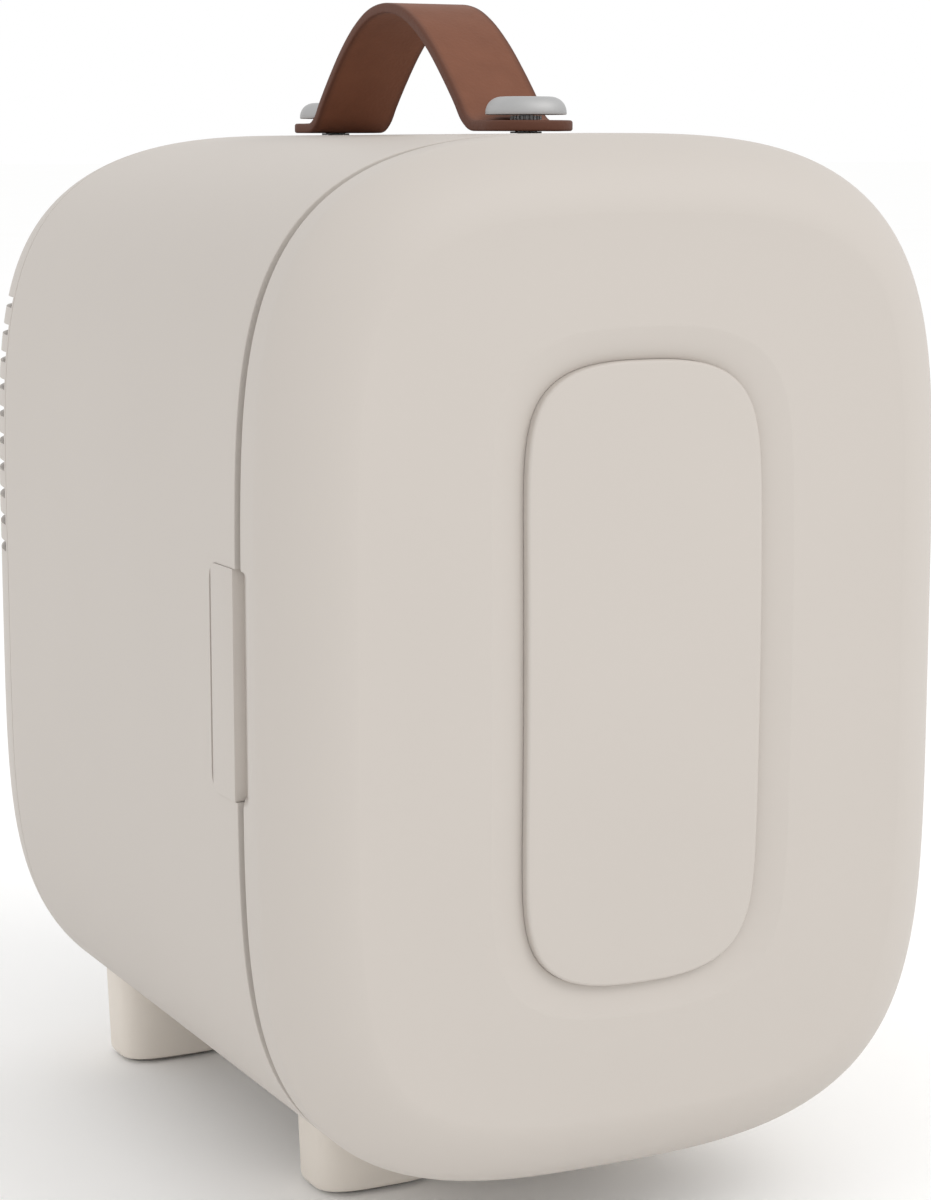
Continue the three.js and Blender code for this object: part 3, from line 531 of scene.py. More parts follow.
def close_plan(tree, geometry, material):
    """Ends a tree as plain geometry in its material."""
    real = add(tree, "GeometryNodeRealizeInstances", {"Geometry": geometry})
    dressed_up = add(tree, "GeometryNodeSetMaterial", {"Geometry": real.outputs[0], "Material": material})
    add(tree, "NodeGroupOutput", {"Geometry": dressed_up.outputs[0]})
    return tree


def run_plan(piece, tree, **sizes):
    """Runs a tree on a piece with these sizes and keeps the plain mesh."""
    step = piece.modifiers.new("plan", "NODES")
    step.node_group = tree
    for socket in tree.interface.items_tree:
        if socket.item_type == "SOCKET" and socket.in_out == "INPUT" and socket.name in sizes:
            step[socket.identifier] = sizes[socket.name]
    return settle(piece)


def pattern(name, tree, template, **sizes):
    """A new piece that is wholly made by a tree from a template, which is used up."""
    piece = make(name, np.zeros((1, 3)), [])
    run_plan(piece, tree, Template=template, **sizes)
    bpy.data.objects.remove(template)
    return piece


def copies(tree, points, given, **more):
    """The given template at every point."""
    template = add(tree, "GeometryNodeObjectInfo", {"Object": given["Template"]}).outputs["Geometry"]
    inputs = {"Points": points, "Instance": template, **more}
    return add(tree, "GeometryNodeInstanceOnPoints", inputs).outputs[0]


def row_plan():
    """Copies of a template in a straight row through its own place, one pitch apart along Z or X."""
    tree, given = plan(
        "row_of_copies", Template=bpy.data.objects[0], Count=1, PitchX=1.0, PitchZ=1.0, Finish=leather
    )
    step = add(tree, "ShaderNodeCombineXYZ", {"X": given["PitchX"], "Z": given["PitchZ"]})
    line = add(tree, "GeometryNodeMeshLine", {"Count": given["Count"], "Offset": step.outputs[0]})
    return close_plan(tree, copies(tree, line.outputs[0], given), given["Finish"])


def ring_plan():
    """Copies of a template turned evenly about the Z axis."""
    tree, given = plan("ring_of_copies", Template=bpy.data.objects[0], Count=1, Finish=leather)
    start = add(tree, "GeometryNodeMeshLine", {"Count": given["Count"], "Offset": (0.0, 0.0, 0.0)})
    share = calc(tree, "DIVIDE", add(tree, "GeometryNodeInputIndex").outputs[0], given["Count"])
    turn = add(tree, "ShaderNodeCombineXYZ", {"Z": calc(tree, "MULTIPLY", share, 2 * math.pi)})
    spread = copies(tree, start.outputs[0], given, Rotation=turn.outputs[0])
    return close_plan(tree, spread, given["Finish"])


def spot_plan():
    """A copy of a template at each point of the piece."""
    tree, given = plan("copies_on_spots", Template=bpy.data.objects[0], Finish=leather)
    return close_plan(tree, copies(tree, given["Geometry"], given), given["Finish"])


def louvre_plan():
    """Opens slots in a skin: faces between marked heights, behind a front end, outside an inner end."""
    tree, given = plan(
        "louvres", First=1.0, Pitch=1.0, Height=1.0, Count=1, Front=1.0, Inner=1.0, Finish=leather
    )
    spot = add(tree, "GeometryNodeInputPosition").outputs[0]
    at = add(tree, "ShaderNodeSeparateXYZ", {"Vector": spot}).outputs
    slots = calc(tree, "DIVIDE", calc(tree, "SUBTRACT", at["Z"], given["First"]), given["Pitch"])
    open_part = calc(tree, "DIVIDE", given["Height"], given["Pitch"])
    chosen = calc(tree, "LESS_THAN", calc(tree, "FRACT", slots), open_part)
    for test in (
        calc(tree, "GREATER_THAN", slots, 0.0),
        calc(tree, "LESS_THAN", slots, given["Count"]),
        calc(tree, "GREATER_THAN", at["Y"], given["Front"]),
        calc(tree, "GREATER_THAN", calc(tree, "ABSOLUTE", at["X"]), given["Inner"]),
    ):
        chosen = calc(tree, "MULTIPLY", chosen, test)
    opened = add(
        tree,
        "GeometryNodeDeleteGeometry",
        {"Geometry": given["Geometry"], "Selection": chosen},
        domain="FACE",
    )
    return close_plan(tree, opened.outputs[0], given["Finish"])


def grille_plan():
    """Copies of a short slot in a column, each drawn out sideways to end on a circle."""
    sizes = {"Count": 1, "Pitch": 1.0, "Reach": 1.0, "Height": 1.0}
    tree, given = plan("round_grille", Template=bpy.data.objects[0], Finish=leather, **sizes)
    offset = add(tree, "ShaderNodeCombineXYZ", {"Z": given["Pitch"]})
    line = add(tree, "GeometryNodeMeshLine", {"Count": given["Count"], "Offset": offset.outputs[0]})
    spread = copies(tree, line.outputs[0], given)
    real = add(tree, "GeometryNodeRealizeInstances", {"Geometry": spread})
    spot = add(tree, "GeometryNodeInputPosition").outputs[0]
    at = add(tree, "ShaderNodeSeparateXYZ", {"Vector": spot}).outputs
    tall = calc(tree, "MULTIPLY", calc(tree, "SUBTRACT", given["Count"], 1.0), given["Pitch"])
    middle = calc(tree, "MULTIPLY", tall, 0.5)
    nudged = calc(tree, "ADD", at["Z"], calc(tree, "MULTIPLY", given["Pitch"], 0.5))
    row = calc(tree, "SNAP", nudged, given["Pitch"])
    away = calc(tree, "ABSOLUTE", calc(tree, "SUBTRACT", row, middle))
    outer = calc(tree, "ADD", away, calc(tree, "MULTIPLY", given["Height"], 0.5))
    whole = calc(tree, "POWER", given["Reach"], 2.0)
    chord = calc(tree, "SQRT", calc(tree, "SUBTRACT", whole, calc(tree, "POWER", outer, 2.0)))
    draw = calc(tree, "SUBTRACT", chord, given["Height"])
    shift = calc(tree, "MULTIPLY", draw, calc(tree, "SIGN", at["X"]))
    move = add(tree, "ShaderNodeCombineXYZ", {"X": shift})
    drawn = add(tree, "GeometryNodeSetPosition", {"Geometry": real.outputs[0], "Offset": move.outputs[0]})
    return close_plan(tree, drawn.outputs[0], given["Finish"])


row_tree = row_plan()
ring_tree = ring_plan()
spot_tree = spot_plan()
louvre_tree = louvre_plan()
grille_tree = grille_plan()


# ---------- camera, light and floor ----------
def place_camera():
    """Camera a little above and to the left of the front, with a long lens."""
    azimuth = math.radians(CAMERA["azimuth"])
    elevation = math.radians(CAMERA["elevation"])
    target = Vector(CAMERA_TARGET) * MM
    distance = CAMERA["distance"] * MM
    back = Vector(
        (
            math.sin(azimuth) * math.cos(elevation),
            -math.cos(azimuth) * math.cos(elevation),
            math.sin(elevation),
        )
    )
    lens = bpy.data.cameras.new("camera")
    lens.lens = CAMERA["lens"]
    lens.sensor_width = 36
    lens.clip_start = 0.01
    lens.clip_end = 200
    camera = placed("camera", lens)
    camera.location = target + back * distance
    camera.rotation_mode = "QUATERNION"
    camera.rotation_quaternion = (-back).to_track_quat("-Z", "Y")
    SCENE.camera = camera


def place_light(name, spot, aim, size, watts, tint):
    """Round soft lamp at a spot in metres, turned to what it lights."""
    lamp = bpy.data.lights.new(name, "AREA")
    lamp.shape = "DISK"
    lamp.size = size
    lamp.energy = watts
    lamp.color = linear(tint)[:3]
    stand_in = placed(name, lamp)
    stand_in.location = spot
    stand_in.rotation_mode = "QUATERNION"
    stand_in.rotation_quaternion = (Vector(aim) - Vector(spot)).to_track_quat("-Z", "Y")


def dress_studio():
    SCENE.view_settings.view_transform = "Standard"
    world = bpy.data.worlds.new("studio")
    world.use_nodes = True
    world.node_tree.nodes.clear()
    sky = add(world.node_tree, "ShaderNodeBackground", {"Color": linear("#ffffff"), "Strength": 1.0})
    add(world.node_tree, "ShaderNodeOutputWorld", {"Surface": sky.outputs[0]})
    SCENE.world = world
    place_light("soft_key", (1.0, -1.55, 2.0), (0, 0, 0.15), 1.6, 14.5, "#fffdfa")
    half = 40 / MM
    flat = rounded(half, half, 0, arc=0)
    floor = make("floor", stand(flat, 0, "z"), [(0, 1, 2, 3)], closed=False)
    no_gloss = {"Specular IOR Level": 0.0}
    paint = finish("pale_floor", "#ffffff", "#fdfdfc", 0.95, mottle=400, grain=3, height=0.0, **no_gloss)
    floor.data.materials.append(paint)


place_camera()
dress_studio()


# ---------- cabinet ----------
def hinge_room():
    """Cutters that leave room for the hinge knuckles in both rims."""
    cutters = []
    for lift in ("upper", "lower"):
        low, high = box_mm(f"hinge_pin_{lift}")
        spot = circle(3.3, (HINGE_AXIS.x, HINGE_AXIS.y), 32)
        cutters.append(plug(f"hinge_room_{lift}", "z", [(spot, low.z - 1), (spot, high.z + 0.8)]))
    return cutters


def latch_window(gap, front_y):
    """Cutter in the shape of the latch tab, open to the front."""
    rear = LATCH_AXIS.y + 1.75 + gap
    half = LATCH_HALF + gap
    radius = LATCH_ROUND + gap
    face = [(front_y, -half), (rear - radius, -half)]
    for start, v in ((-90, radius - half), (0, half - radius)):
        for k in range(11):
            turn = math.radians(start + 9 * k)
            face.append((rear - radius + radius * math.cos(turn), v + radius * math.sin(turn)))
    face += [(front_y, half)]
    face = np.array(face) + (0, MIDDLE_Z)
    return plug("latch_window", "x", [(face, -HALF_WIDTH - 4), (face, -80)])


def rim_steps():
    """(inset, distance from the rim) pairs of the stepped rim along the shadow gap."""
    deep, back, radius = REBATE["in"], REBATE["back"], REBATE["round"]
    steps = [(deep + 0.1, 0), (deep, back)]
    return steps + [(across, back + along) for across, along in quarter_round(radius, 4)]


def housing_moulding():
    straight = np.linspace(RIM_Y + 3, BACK_START_Y, 12)[:-1]
    outer = [ring(BODY, RIM_Y + back, inset) for inset, back in rim_steps()]
    outer += [ring(BODY, y) for y in straight]
    outer += [ring(BODY, y, inset) for inset, y in BACK_CURVE if y < PARTING_Y - 0.5]
    end = back_inset(PARTING_Y)
    outer += [ring(BODY, PARTING_Y - 0.25, back_inset(PARTING_Y - 0.25)), ring(BODY, PARTING_Y, end + 0.25)]
    inner = [ring(BODY, PARTING_Y, end + WALL), ring(BODY, BACK_START_Y, WALL)]
    inner += [ring(BODY, RIM_Y, WALL)]
    shell = skin("housing_moulding", outer + inner, satin_abs, looped=True)
    window = latch_window(LATCH_GAP, RIM_Y - 2)
    post_holes = [
        plug("post_hole", "z", [(circle(2.4, (0, y)), TOP_Z - 6), (circle(2.4, (0, y)), TOP_Z + 3)])
        for y in STUDS.values()
    ]
    carve(shell, [window, *post_holes, *hinge_room()])
    return fit(shell, "cabinet", "shell_plastic", "housing_shell")


housing_moulding()


# ---------- rear cover ----------
def cover_moulding():
    start = COVER_Y - 0.25
    steps = [(back_inset(start), start), (back_inset(LOUVRES["front"]), LOUVRES["front"])]
    steps += [(inset, y) for inset, y in BACK_CURVE if y > LOUVRES["front"] + 0.6]
    steps += [(BACK_EDGE["inset"] + 2, BACK_Y), (HALF_WIDTH - LOUVRES["inner"], BACK_Y)]
    rings = [ring(BODY, y, inset, COVER_GRID) for inset, y in steps]
    shell = skin("cover_moulding", rings, satin_abs, ends=(False, True), closed=False)
    run_plan(
        shell,
        louvre_tree,
        First=(MIDDLE_Z + LOUVRES["first"]) * MM,
        Pitch=LOUVRES["pitch"] * MM,
        Height=LOUVRES["height"] * MM,
        Count=LOUVRES["count"],
        Front=LOUVRES["front"] * MM,
        Inner=LOUVRES["inner"] * MM,
        Finish=satin_abs,
    )
    wall = shell.modifiers.new("wall", "SOLIDIFY")
    wall.thickness = WALL * MM
    wall.offset = -1
    wall.use_even_offset = True
    settle(shell)
    soften(shell, 0.3)
    carve(shell, [fan_grille(), *port_holes(), *screw_sinks()])
    return fit(shell, "cabinet", "shell_plastic", "rear_cover")


def flared(outline_of):
    """Stations of a cutter that goes through the back wall and leaves a rounded mouth."""
    return [
        (outline_of(0), BACK_Y - WALL - 3),
        (outline_of(0), BACK_Y - 0.5),
        (outline_of(0.15), BACK_Y - 0.15),
        (outline_of(0.5), BACK_Y),
        (outline_of(0.9), BACK_Y + 0.4),
    ]


def fan_grille():
    half = GRILLE["height"] / 2
    short = plug("short_slot", "y", flared(lambda grow: rounded(2 * half, half, half - 0.02, grow)))
    rows = pattern(
        "grille_cutter",
        grille_tree,
        short,
        Count=GRILLE["rows"],
        Pitch=GRILLE["pitch"] * MM,
        Reach=GRILLE["reach"] * MM,
        Height=GRILLE["height"] * MM,
        Finish=satin_abs,
    )
    low = FAN_AXIS.z - GRILLE["pitch"] * (GRILLE["rows"] - 1) / 2
    rows.data.transform(Matrix.Translation((0, 0, low * MM)))
    return rows


def middle_of(node):
    low, high = box_mm(node)
    return (low + high) / 2


def port_holes():
    mains = middle_of("mains_inlet")
    dc = middle_of("dc_socket")
    mode = middle_of("mode_switch")
    outlines = {
        "mains_hole": lambda grow: rounded(11.4, 7.9, 2, grow, (mains.x, mains.z)),
        "dc_hole": lambda grow: circle(5.4 + grow, (dc.x, dc.z)),
        "mode_hole": lambda grow: rounded(9.9, 8.4, 1, grow, (mode.x, mode.z)),
    }
    return [plug(name, "y", flared(outline_of)) for name, outline_of in outlines.items()]


def screw_sinks():
    """Stepped holes for the screw heads, as (radius, depth below the back) from the inside out."""
    bore = [(2, 8), (2, 1.2), (3.8, 1.2), (3.8, 0.3), (4.1, 0), (4.5, -0.4)]
    cutters = []
    for number, spot in enumerate(SCREW_SPOTS):
        stations = [(circle(radius, spot, 32), BACK_Y - deep) for radius, deep in bore]
        cutters.append(plug(f"sink_{number}", "y", stations))
    return cutters


def rear_screws():
    """Four pan head screws with a cross recess, on one piece."""
    low = box_mm("rear_screw_1")[0]
    head = [(3.4, -0.9), (3.4, -0.1), (3.1, 0.5), (2.3, 0.85), (1.2, 0.95)]
    stations = [(circle(1.5, count=32), low.y - BACK_Y), (circle(1.5, count=32), -0.9)]
    stations += [(circle(radius, count=32), y) for radius, y in head]
    screw = plug("screw", "y", stations, zinc_steel)
    arms = [rounded(1.9, 0.42, 0.1, arc=2), rounded(0.42, 1.9, 0.1, arc=2)]
    carve(screw, [plug("recess", "y", [(arm * 0.6, -0.5), (arm, 1.3)]) for arm in arms])
    spots = make("rear_screws", [(x, BACK_Y, z) for x, z in SCREW_SPOTS], [])
    run_plan(spots, spot_tree, Template=screw, Finish=zinc_steel)
    bpy.data.objects.remove(screw)
    fit(spots, "cabinet", "steel", *[f"rear_screw_{n}" for n in range(1, 5)])


cover_moulding()
rear_screws()


# ---------- feet ----------
def foot_set():
    core = [ring(BODY, SEAM_Y + 5, 0), ring(BODY, BACK_START_Y, 0)]
    core += [ring(BODY, y, inset) for inset, y in BACK_CURVE[1:]]
    for depth_name in ("front", "rear"):
        for side_name in ("left", "right"):
            spot = middle_of(f"foot_pad_{depth_name}_{side_name}")
            place = f"{depth_name}_{side_name}"
            sole = 1.2
            profile = [(-2.2, sole), (-1.4, sole + 0.2), (-1, sole + 0.7), (-0.8, sole + 1.6), (0.4, 34)]
            rings = [slab(FOOT, grow, spot, z) for grow, z in profile]
            # the feet's finish is the shell's ABS painted lighter, painted fill light against the shade
            # under the cabinet
            foot = skin(f"{place}_foot", rings, foot_abs_painted_fill)
            carve(foot, [skin("core", core)])
            fit(foot, "cabinet", "foot_plastic", f"foot_{place}")
            rings = [slab(PAD, grow, spot, z) for grow, z in [(-0.7, 0), (-0.2, 0.15), (0, 0.5), (0, 1.1)]]
            fit(skin(f"{place}_pad", rings, grey_rubber), "cabinet", "rubber", f"foot_pad_{place}")


def slab(shape, grow, spot, height):
    """Level superellipse round a spot, grown outwards."""
    loop = four_ways(quarter(shape, -grow, (), (20,)))
    return stand(loop + (spot.x, spot.y), height, "z")


foot_set()


# ---------- door ----------
def smooth_step(value):
    value = np.clip(value, 0, 1)
    return value * value * (3 - 2 * value)


def scooped(points):
    """Sinks the finger scoop into the left side of the door and draws its tongue out behind."""
    x, y, z = points.T.copy()
    tall = smooth_step((SCOOP["half"] - np.abs(z - MIDDLE_Z)) / SCOOP["fade"])
    on_side = x < -HALF_WIDTH / 2
    tongue = smooth_step((SCOOP["half"] - 0.2 - np.abs(z - MIDDLE_Z)) / 1.0)
    near_rim = np.clip((y - (DOOR_REAR_Y - 2.4)) / 1.7, 0, 1)
    y = y + on_side * SCOOP["tongue"] * tongue * near_rim
    along = smooth_step((y - (DOOR_REAR_Y - SCOOP["reach"])) / (SCOOP["reach"] + SCOOP["tongue"] - 1))
    x = x + on_side * SCOOP["depth"] * tall * along
    return np.c_[x, y, z]


def crowned(points):
    """Brings the middle of the door face forward in a low dome."""
    x, y, z = points.T.copy()
    half_x, half_z = HALF_WIDTH - FRONT_EDGE["inset"], HALF_HEIGHT - FRONT_EDGE["inset"]
    out = np.clip((x / half_x) ** 2 + ((z - MIDDLE_Z) / half_z) ** 2, 0, 1)
    return np.c_[x, y - CROWN * (1 - out) ** 1.5, z]


def door_moulding():
    pocket = 0.05
    floor_y = FRONT_Y + 5.4
    inner, outer = (ring(shape, 0, 0, DOOR_GRID, PANEL_LIFT) for shape in (PANEL, DISH))
    rings = [ring(PANEL, floor_y, -pocket, DOOR_GRID, PANEL_LIFT)]
    rings.append(crowned(ring(PANEL, FRONT_Y + DISH_DEPTH + 0.4, -pocket, DOOR_GRID, PANEL_LIFT)))
    for share in (1, 0.97, 0.92, 0.85, 0.75, 0.6, 0.45, 0.3, 0.2, 0.13, 0.08, 0.04, 0.01, -0.03):
        loop = outer + (inner - outer) * min(share, 0.99)
        loop[:, 1] = FRONT_Y + DISH_DEPTH * max(share, 0) ** 1.1
        rings.append(crowned(loop))
    for share in (0.25, 0.5, 0.75):
        loop = outer + (ring(BODY, 0, FRONT_EDGE["inset"] + 1.2, DOOR_GRID) - outer) * share
        loop[:, 1] = FRONT_Y
        rings.append(crowned(loop))
    rings.append(ring(BODY, FRONT_Y, FRONT_EDGE["inset"] + 1.2, DOOR_GRID))
    full = FRONT_Y + FRONT_EDGE["depth"]
    rings += [ring(BODY, full - past, inset, DOOR_GRID) for inset, past in edge_steps(FRONT_EDGE, 26)[::-1]]
    side = np.linspace(full, DOOR_REAR_Y - 1.2, 9)[1:]
    rings += [ring(BODY, y, 0, DOOR_GRID) for y in side]
    rings += [ring(BODY, DOOR_REAR_Y - back, inset, DOOR_GRID) for inset, back in rim_steps()[::-1]]
    rings += [ring(BODY, y, WALL, DOOR_GRID) for y in (DOOR_REAR_Y, DOOR_REAR_Y - 2, full)]
    rings.append(ring(BODY, FRONT_Y + WALL + 3, FRONT_EDGE["inset"], DOOR_GRID))
    rings.append(ring(PANEL, floor_y + 2, -pocket - WALL - 3, DOOR_GRID, PANEL_LIFT))
    rings = [scooped(loop) for loop in rings]
    shell = skin("door_moulding", rings, satin_abs)
    carve(shell, hinge_room())
    return fit(shell, "door", "shell_plastic", "door_shell")


def inset_panel():
    """Panel standing proud of its dish, with a soft edge and the same low dome."""
    radius = 0.8
    steps = [(inset, 0) for inset in (26, 22, 18, 14, 10, 6, 3.5, 2)]
    steps += quarter_round(radius, 7)
    shape = ring(PANEL, 0, 0, DOOR_GRID, PANEL_LIFT)
    middle = np.array((0, 0, MIDDLE_Z + PANEL_LIFT))
    rings = []
    for inset, back in steps:
        if inset > radius:
            loop = middle + (shape - middle) * (1 - inset / PANEL[0])
            loop[:, 1] = FRONT_Y
        else:
            loop = ring(PANEL, FRONT_Y + back, inset, DOOR_GRID, PANEL_LIFT)
        rings.append(crowned(loop))
    rings.append(ring(PANEL, FRONT_Y + 5.2, 0, DOOR_GRID, PANEL_LIFT))
    return fit(skin("face_panel", rings, satin_abs), "door", "shell_plastic", "door_inset_panel")


door_moulding()
inset_panel()


# ---------- latch ----------
def latch_tab():
    """Sprung tab: flat face, round rear edge on the pin, and a deep front edge for the finger."""
    radius = LATCH_AXIS.x - box_mm("latch_lever")[0].x
    face_x = LATCH_AXIS.x - radius
    front = LATCH_FRONT_Y
    profile = [(face_x, front)]
    for k in range(13):
        turn = math.radians(180 - 15 * k)
        profile.append((LATCH_AXIS.x + radius * math.cos(turn), LATCH_AXIS.y + radius * math.sin(turn)))
    profile += [(face_x + 2.6, LATCH_AXIS.y - 2.4), (face_x + 2.3, front + 3.4), (face_x + 4.6, front + 1.8)]
    profile += [(face_x + 4.8, front + 0.3), (face_x + 4.5, front)]
    bottom = MIDDLE_Z - LATCH_HALF
    top = MIDDLE_Z + LATCH_HALF
    tab = plug("latch_tab", "z", [(profile, bottom), (profile, top)], satin_abs)
    carve(tab, [latch_window(0, front - 3)], "INTERSECT")
    soften(tab, 0.16, angle=50)
    return fit(tab, "latch", "shell_plastic", "latch_lever")


def catch_bar():
    """Bar under the door's tongue that the latch hooks behind."""
    low, high = box_mm("door_catch")
    flat = rounded((high.x - 0.3 + 84.2) / 2, 2.3, 0.5, centre=((high.x - 0.3 - 84.2) / 2, high.y - 2.6))
    stations = [(flat, low.z + 2), (flat, high.z - 2)]
    bar = plug("catch_bar", "z", stations, satin_abs)
    soften(bar, 0.3)
    return fit(bar, "door", "shell_plastic", "door_catch")


latch_tab()
catch_bar()


# ---------- strap handle ----------
# From the crown of the strap to a stud: share of the reach, height above the body.
STRAP_LINE = [(0, 31.2), (0.165, 30), (0.312, 26.6), (0.46, 21.2), (0.607, 14.2), (0.726, 7.8)]
STRAP_LINE += [(0.787, 4.1), (0.852, 2.1), (0.919, 1.85), (1, 1.85), (1.22, 1.85)]


def strap_path():
    """Middle line of the strap as dense (y, z) points from its front end to its rear end."""
    half = np.array(STRAP_LINE, float)
    whole = np.r_[(half * (STUDS["front"], 1))[:0:-1], half * (STUDS["rear"], 1)]
    knots = np.r_[0, np.cumsum(np.linalg.norm(np.diff(whole, axis=0), axis=1) ** 0.5)]
    slopes = np.gradient(whole, knots, axis=0)
    dense = []
    for i in range(len(whole) - 1):
        gap = knots[i + 1] - knots[i]
        t = np.linspace(0, 1, 30, endpoint=False)[:, None]
        dense.append(
            (2 * t**3 - 3 * t**2 + 1) * whole[i]
            + (t**3 - 2 * t**2 + t) * gap * slopes[i]
            + (3 * t**2 - 2 * t**3) * whole[i + 1]
            + (t**3 - t**2) * gap * slopes[i + 1]
        )
    line = np.concatenate(dense + [whole[-1:]])
    return line + (0, TOP_Z)


def strap_handle():
    """Flat leather strap: a stadium in plan with rounded edges, bent along its path."""
    line = strap_path()
    travel = np.r_[0, np.cumsum(np.linalg.norm(np.diff(line, axis=0), axis=1))]
    tangent = np.gradient(line, axis=0)
    tangent /= np.linalg.norm(tangent, axis=1)[:, None]
    front_at, rear_at = (float(np.interp(STUDS[place], line[:, 0], travel)) for place in ("front", "rear"))
    half_width = STRAP["width"] / 2
    half_thick = STRAP["thick"] / 2
    stations = np.linspace(front_at, rear_at, 121)
    sweep = np.linspace(0, math.pi / 2, 17)[1:]

    def loop(inset, height):
        """Points round the strap's outline, drawn in by inset, at a height off its middle."""
        reach = half_width - inset
        s = np.r_[stations, rear_at + reach * np.sin(sweep)]
        w = np.r_[np.full(len(stations), reach), reach * np.cos(sweep)]
        s = np.r_[front_at - reach * np.sin(sweep[::-1]), s]
        w = np.r_[reach * np.cos(sweep[::-1]), w]
        s = np.r_[s, s[-2:0:-1]]
        w = np.r_[w, -w[-2:0:-1]]
        y = np.interp(s, travel, line[:, 0]) - height * np.interp(s, travel, tangent[:, 1])
        z = np.interp(s, travel, line[:, 1]) + height * np.interp(s, travel, tangent[:, 0])
        return np.c_[w, y, z]

    edge = STRAP["edge"]
    lower = [(across, -half_thick + along) for across, along in quarter_round(edge, 4)]
    upper = [(inset, -height) for inset, height in lower[::-1]]
    steps = [(2.0, -half_thick), (1.0, -half_thick), *lower, *upper, (1.0, half_thick), (2.0, half_thick)]
    loops = [loop(inset, height) for inset, height in steps]
    count = len(loops[0])
    middle = count // 2
    faces = []
    for band in range(len(loops) - 1):
        a, b = band * count, (band + 1) * count
        faces += [(a + i, b + i, b + (i + 1) % count, a + (i + 1) % count) for i in range(count)]
    for start in (0, (len(loops) - 1) * count):
        for i in range(middle):
            left, right = i, (count - i) % count
            face = (start + left, start + left + 1, start + (count - i - 1), start + right)
            faces.append(tuple(dict.fromkeys(face)))
    strap = make("leather_strap", np.concatenate(loops), faces, leather)
    rubbed = strap.data.attributes.new("rubbed_edge", "FLOAT", "POINT")
    values = [0.0 if inset > 1.5 else (0.45 if inset > 0.7 else 1.0) for inset, _ in steps]
    rubbed.data.foreach_set("value", np.repeat(values, count).astype(np.float32))
    holes = [
        plug("hole", "z", [(circle(3, (0, y)), TOP_Z - 1), (circle(3, (0, y)), TOP_Z + 6)])
        for y in STUDS.values()
    ]
    carve(strap, holes)
    return fit(strap, "cabinet", "leather", "strap_handle")


def studs():
    """Turned caps on ribbed posts that hold the strap's two ends."""
    under_cap = CAP["bottom"] - 0.2
    over_strap = STRAP["lift"] + STRAP["thick"] + 0.15
    for place, y in STUDS.items():
        heights = [-6, 0.1, 0.1, STRAP["lift"] - 0.1, STRAP["lift"] - 0.1]
        heights += [over_strap, over_strap, under_cap, under_cap, CAP["bottom"] + 1]
        radii = [2, 2, 3.3, 3.3, 2.6, 2.6, 3.3, 3.3, 1.6, 1.6]
        post = turned("core", [(r, TOP_Z + z) for r, z in zip(radii, heights)], (0, y), blasted_zinc, 48)
        parts = [post]
        for low, high in ((0.1, STRAP["lift"] - 0.1), (over_strap, under_cap)):
            flat = rounded(0.42, 0.3, 0.2, centre=(3.3, 0), arc=2)
            rib = plug("rib", "z", [(flat, low), (flat, high)], blasted_zinc)
            ribs = pattern("ribs", ring_tree, rib, Count=22, Finish=blasted_zinc)
            ribs.data.transform(Matrix.Translation((0, y * MM, TOP_Z * MM)))
            parts.append(ribs)
        fit(merged(parts, f"{place}_post"), "cabinet", "stud_metal", f"stud_post_{place}")
        bottom, top, edge = CAP["bottom"], CAP["top"], CAP["edge"]
        profile = [(1.9, bottom + 2.3), (1.9, bottom), (CAP["radius"] - 0.25, bottom)]
        profile += [(CAP["radius"] - 0.07, bottom + 0.07), (CAP["radius"], bottom + 0.25)]
        for k in range(1, 13):
            turn = math.pi / 2 * k / 12
            rise = (top - bottom - 0.25) * math.sin(turn) ** 0.9
            profile.append((CAP["radius"] - edge * (1 - math.cos(turn)), bottom + 0.25 + rise))
        profile.append((CAP["radius"] - edge - 1, top))
        cap = turned(f"{place}_cap", [(r, TOP_Z + z) for r, z in profile], (0, y), blasted_zinc, 96)
        fit(cap, "cabinet", "stud_metal", f"stud_cap_{place}")


strap_handle()
studs()


# ---------- cabin and door lining ----------
def corner(radius, inset, y):
    """(inset, y) pairs round a corner, from the wall onto the face at y."""
    return [(inset + along, y - across) for across, along in quarter_round(radius, 6)]


def cabin_tub():
    """Vacuum formed tub with rounded corners, a front flange, a hole for the cold plate and two ledges."""
    low, high = box_mm("cabin_liner")
    wall = 2
    back = high.y - wall
    hole = (22, 22, 12, 12)
    lift = FAN_AXIS.z - MIDDLE_Z
    rings = [ring(hole, back, lift=lift)]
    rings += [ring(CABIN, y, inset) for inset, y in corner(6, 1.5, back)[::-1]]
    rings += [ring(CABIN, low.y + across, -along) for across, along in quarter_round(2, 6)]
    rings += [ring(BODY, low.y, WALL + 0.7), ring(BODY, low.y + 0.3, WALL + 0.4)]
    rings.append(ring(BODY, low.y + wall, WALL + 0.4))
    rings += [ring(CABIN, low.y + wall, -wall), ring(CABIN, back - 4, -0.6), ring(CABIN, back + wall, 4.5)]
    rings.append(ring(hole, back + wall, lift=lift))
    tub = skin("cabin_tub", rings, liner_hips, looped=True)
    shelf = box_mm("cabin_shelf")[0].z
    for side in (-1, 1):
        ends = sorted((side * (CABIN[0] + 0.8), side * (CABIN[0] - 5)))
        ledge = block("ledge", (ends[0], -44, shelf - 3.4), (ends[1], 40, shelf - 0.4), liner_hips)
        carve(tub, [soften(ledge, 0.6)], "UNION")
    carve(tub, [latch_window(0.6, RIM_Y - 2)])
    return fit(tub, "cabinet", "liner_plastic", "cabin_liner")


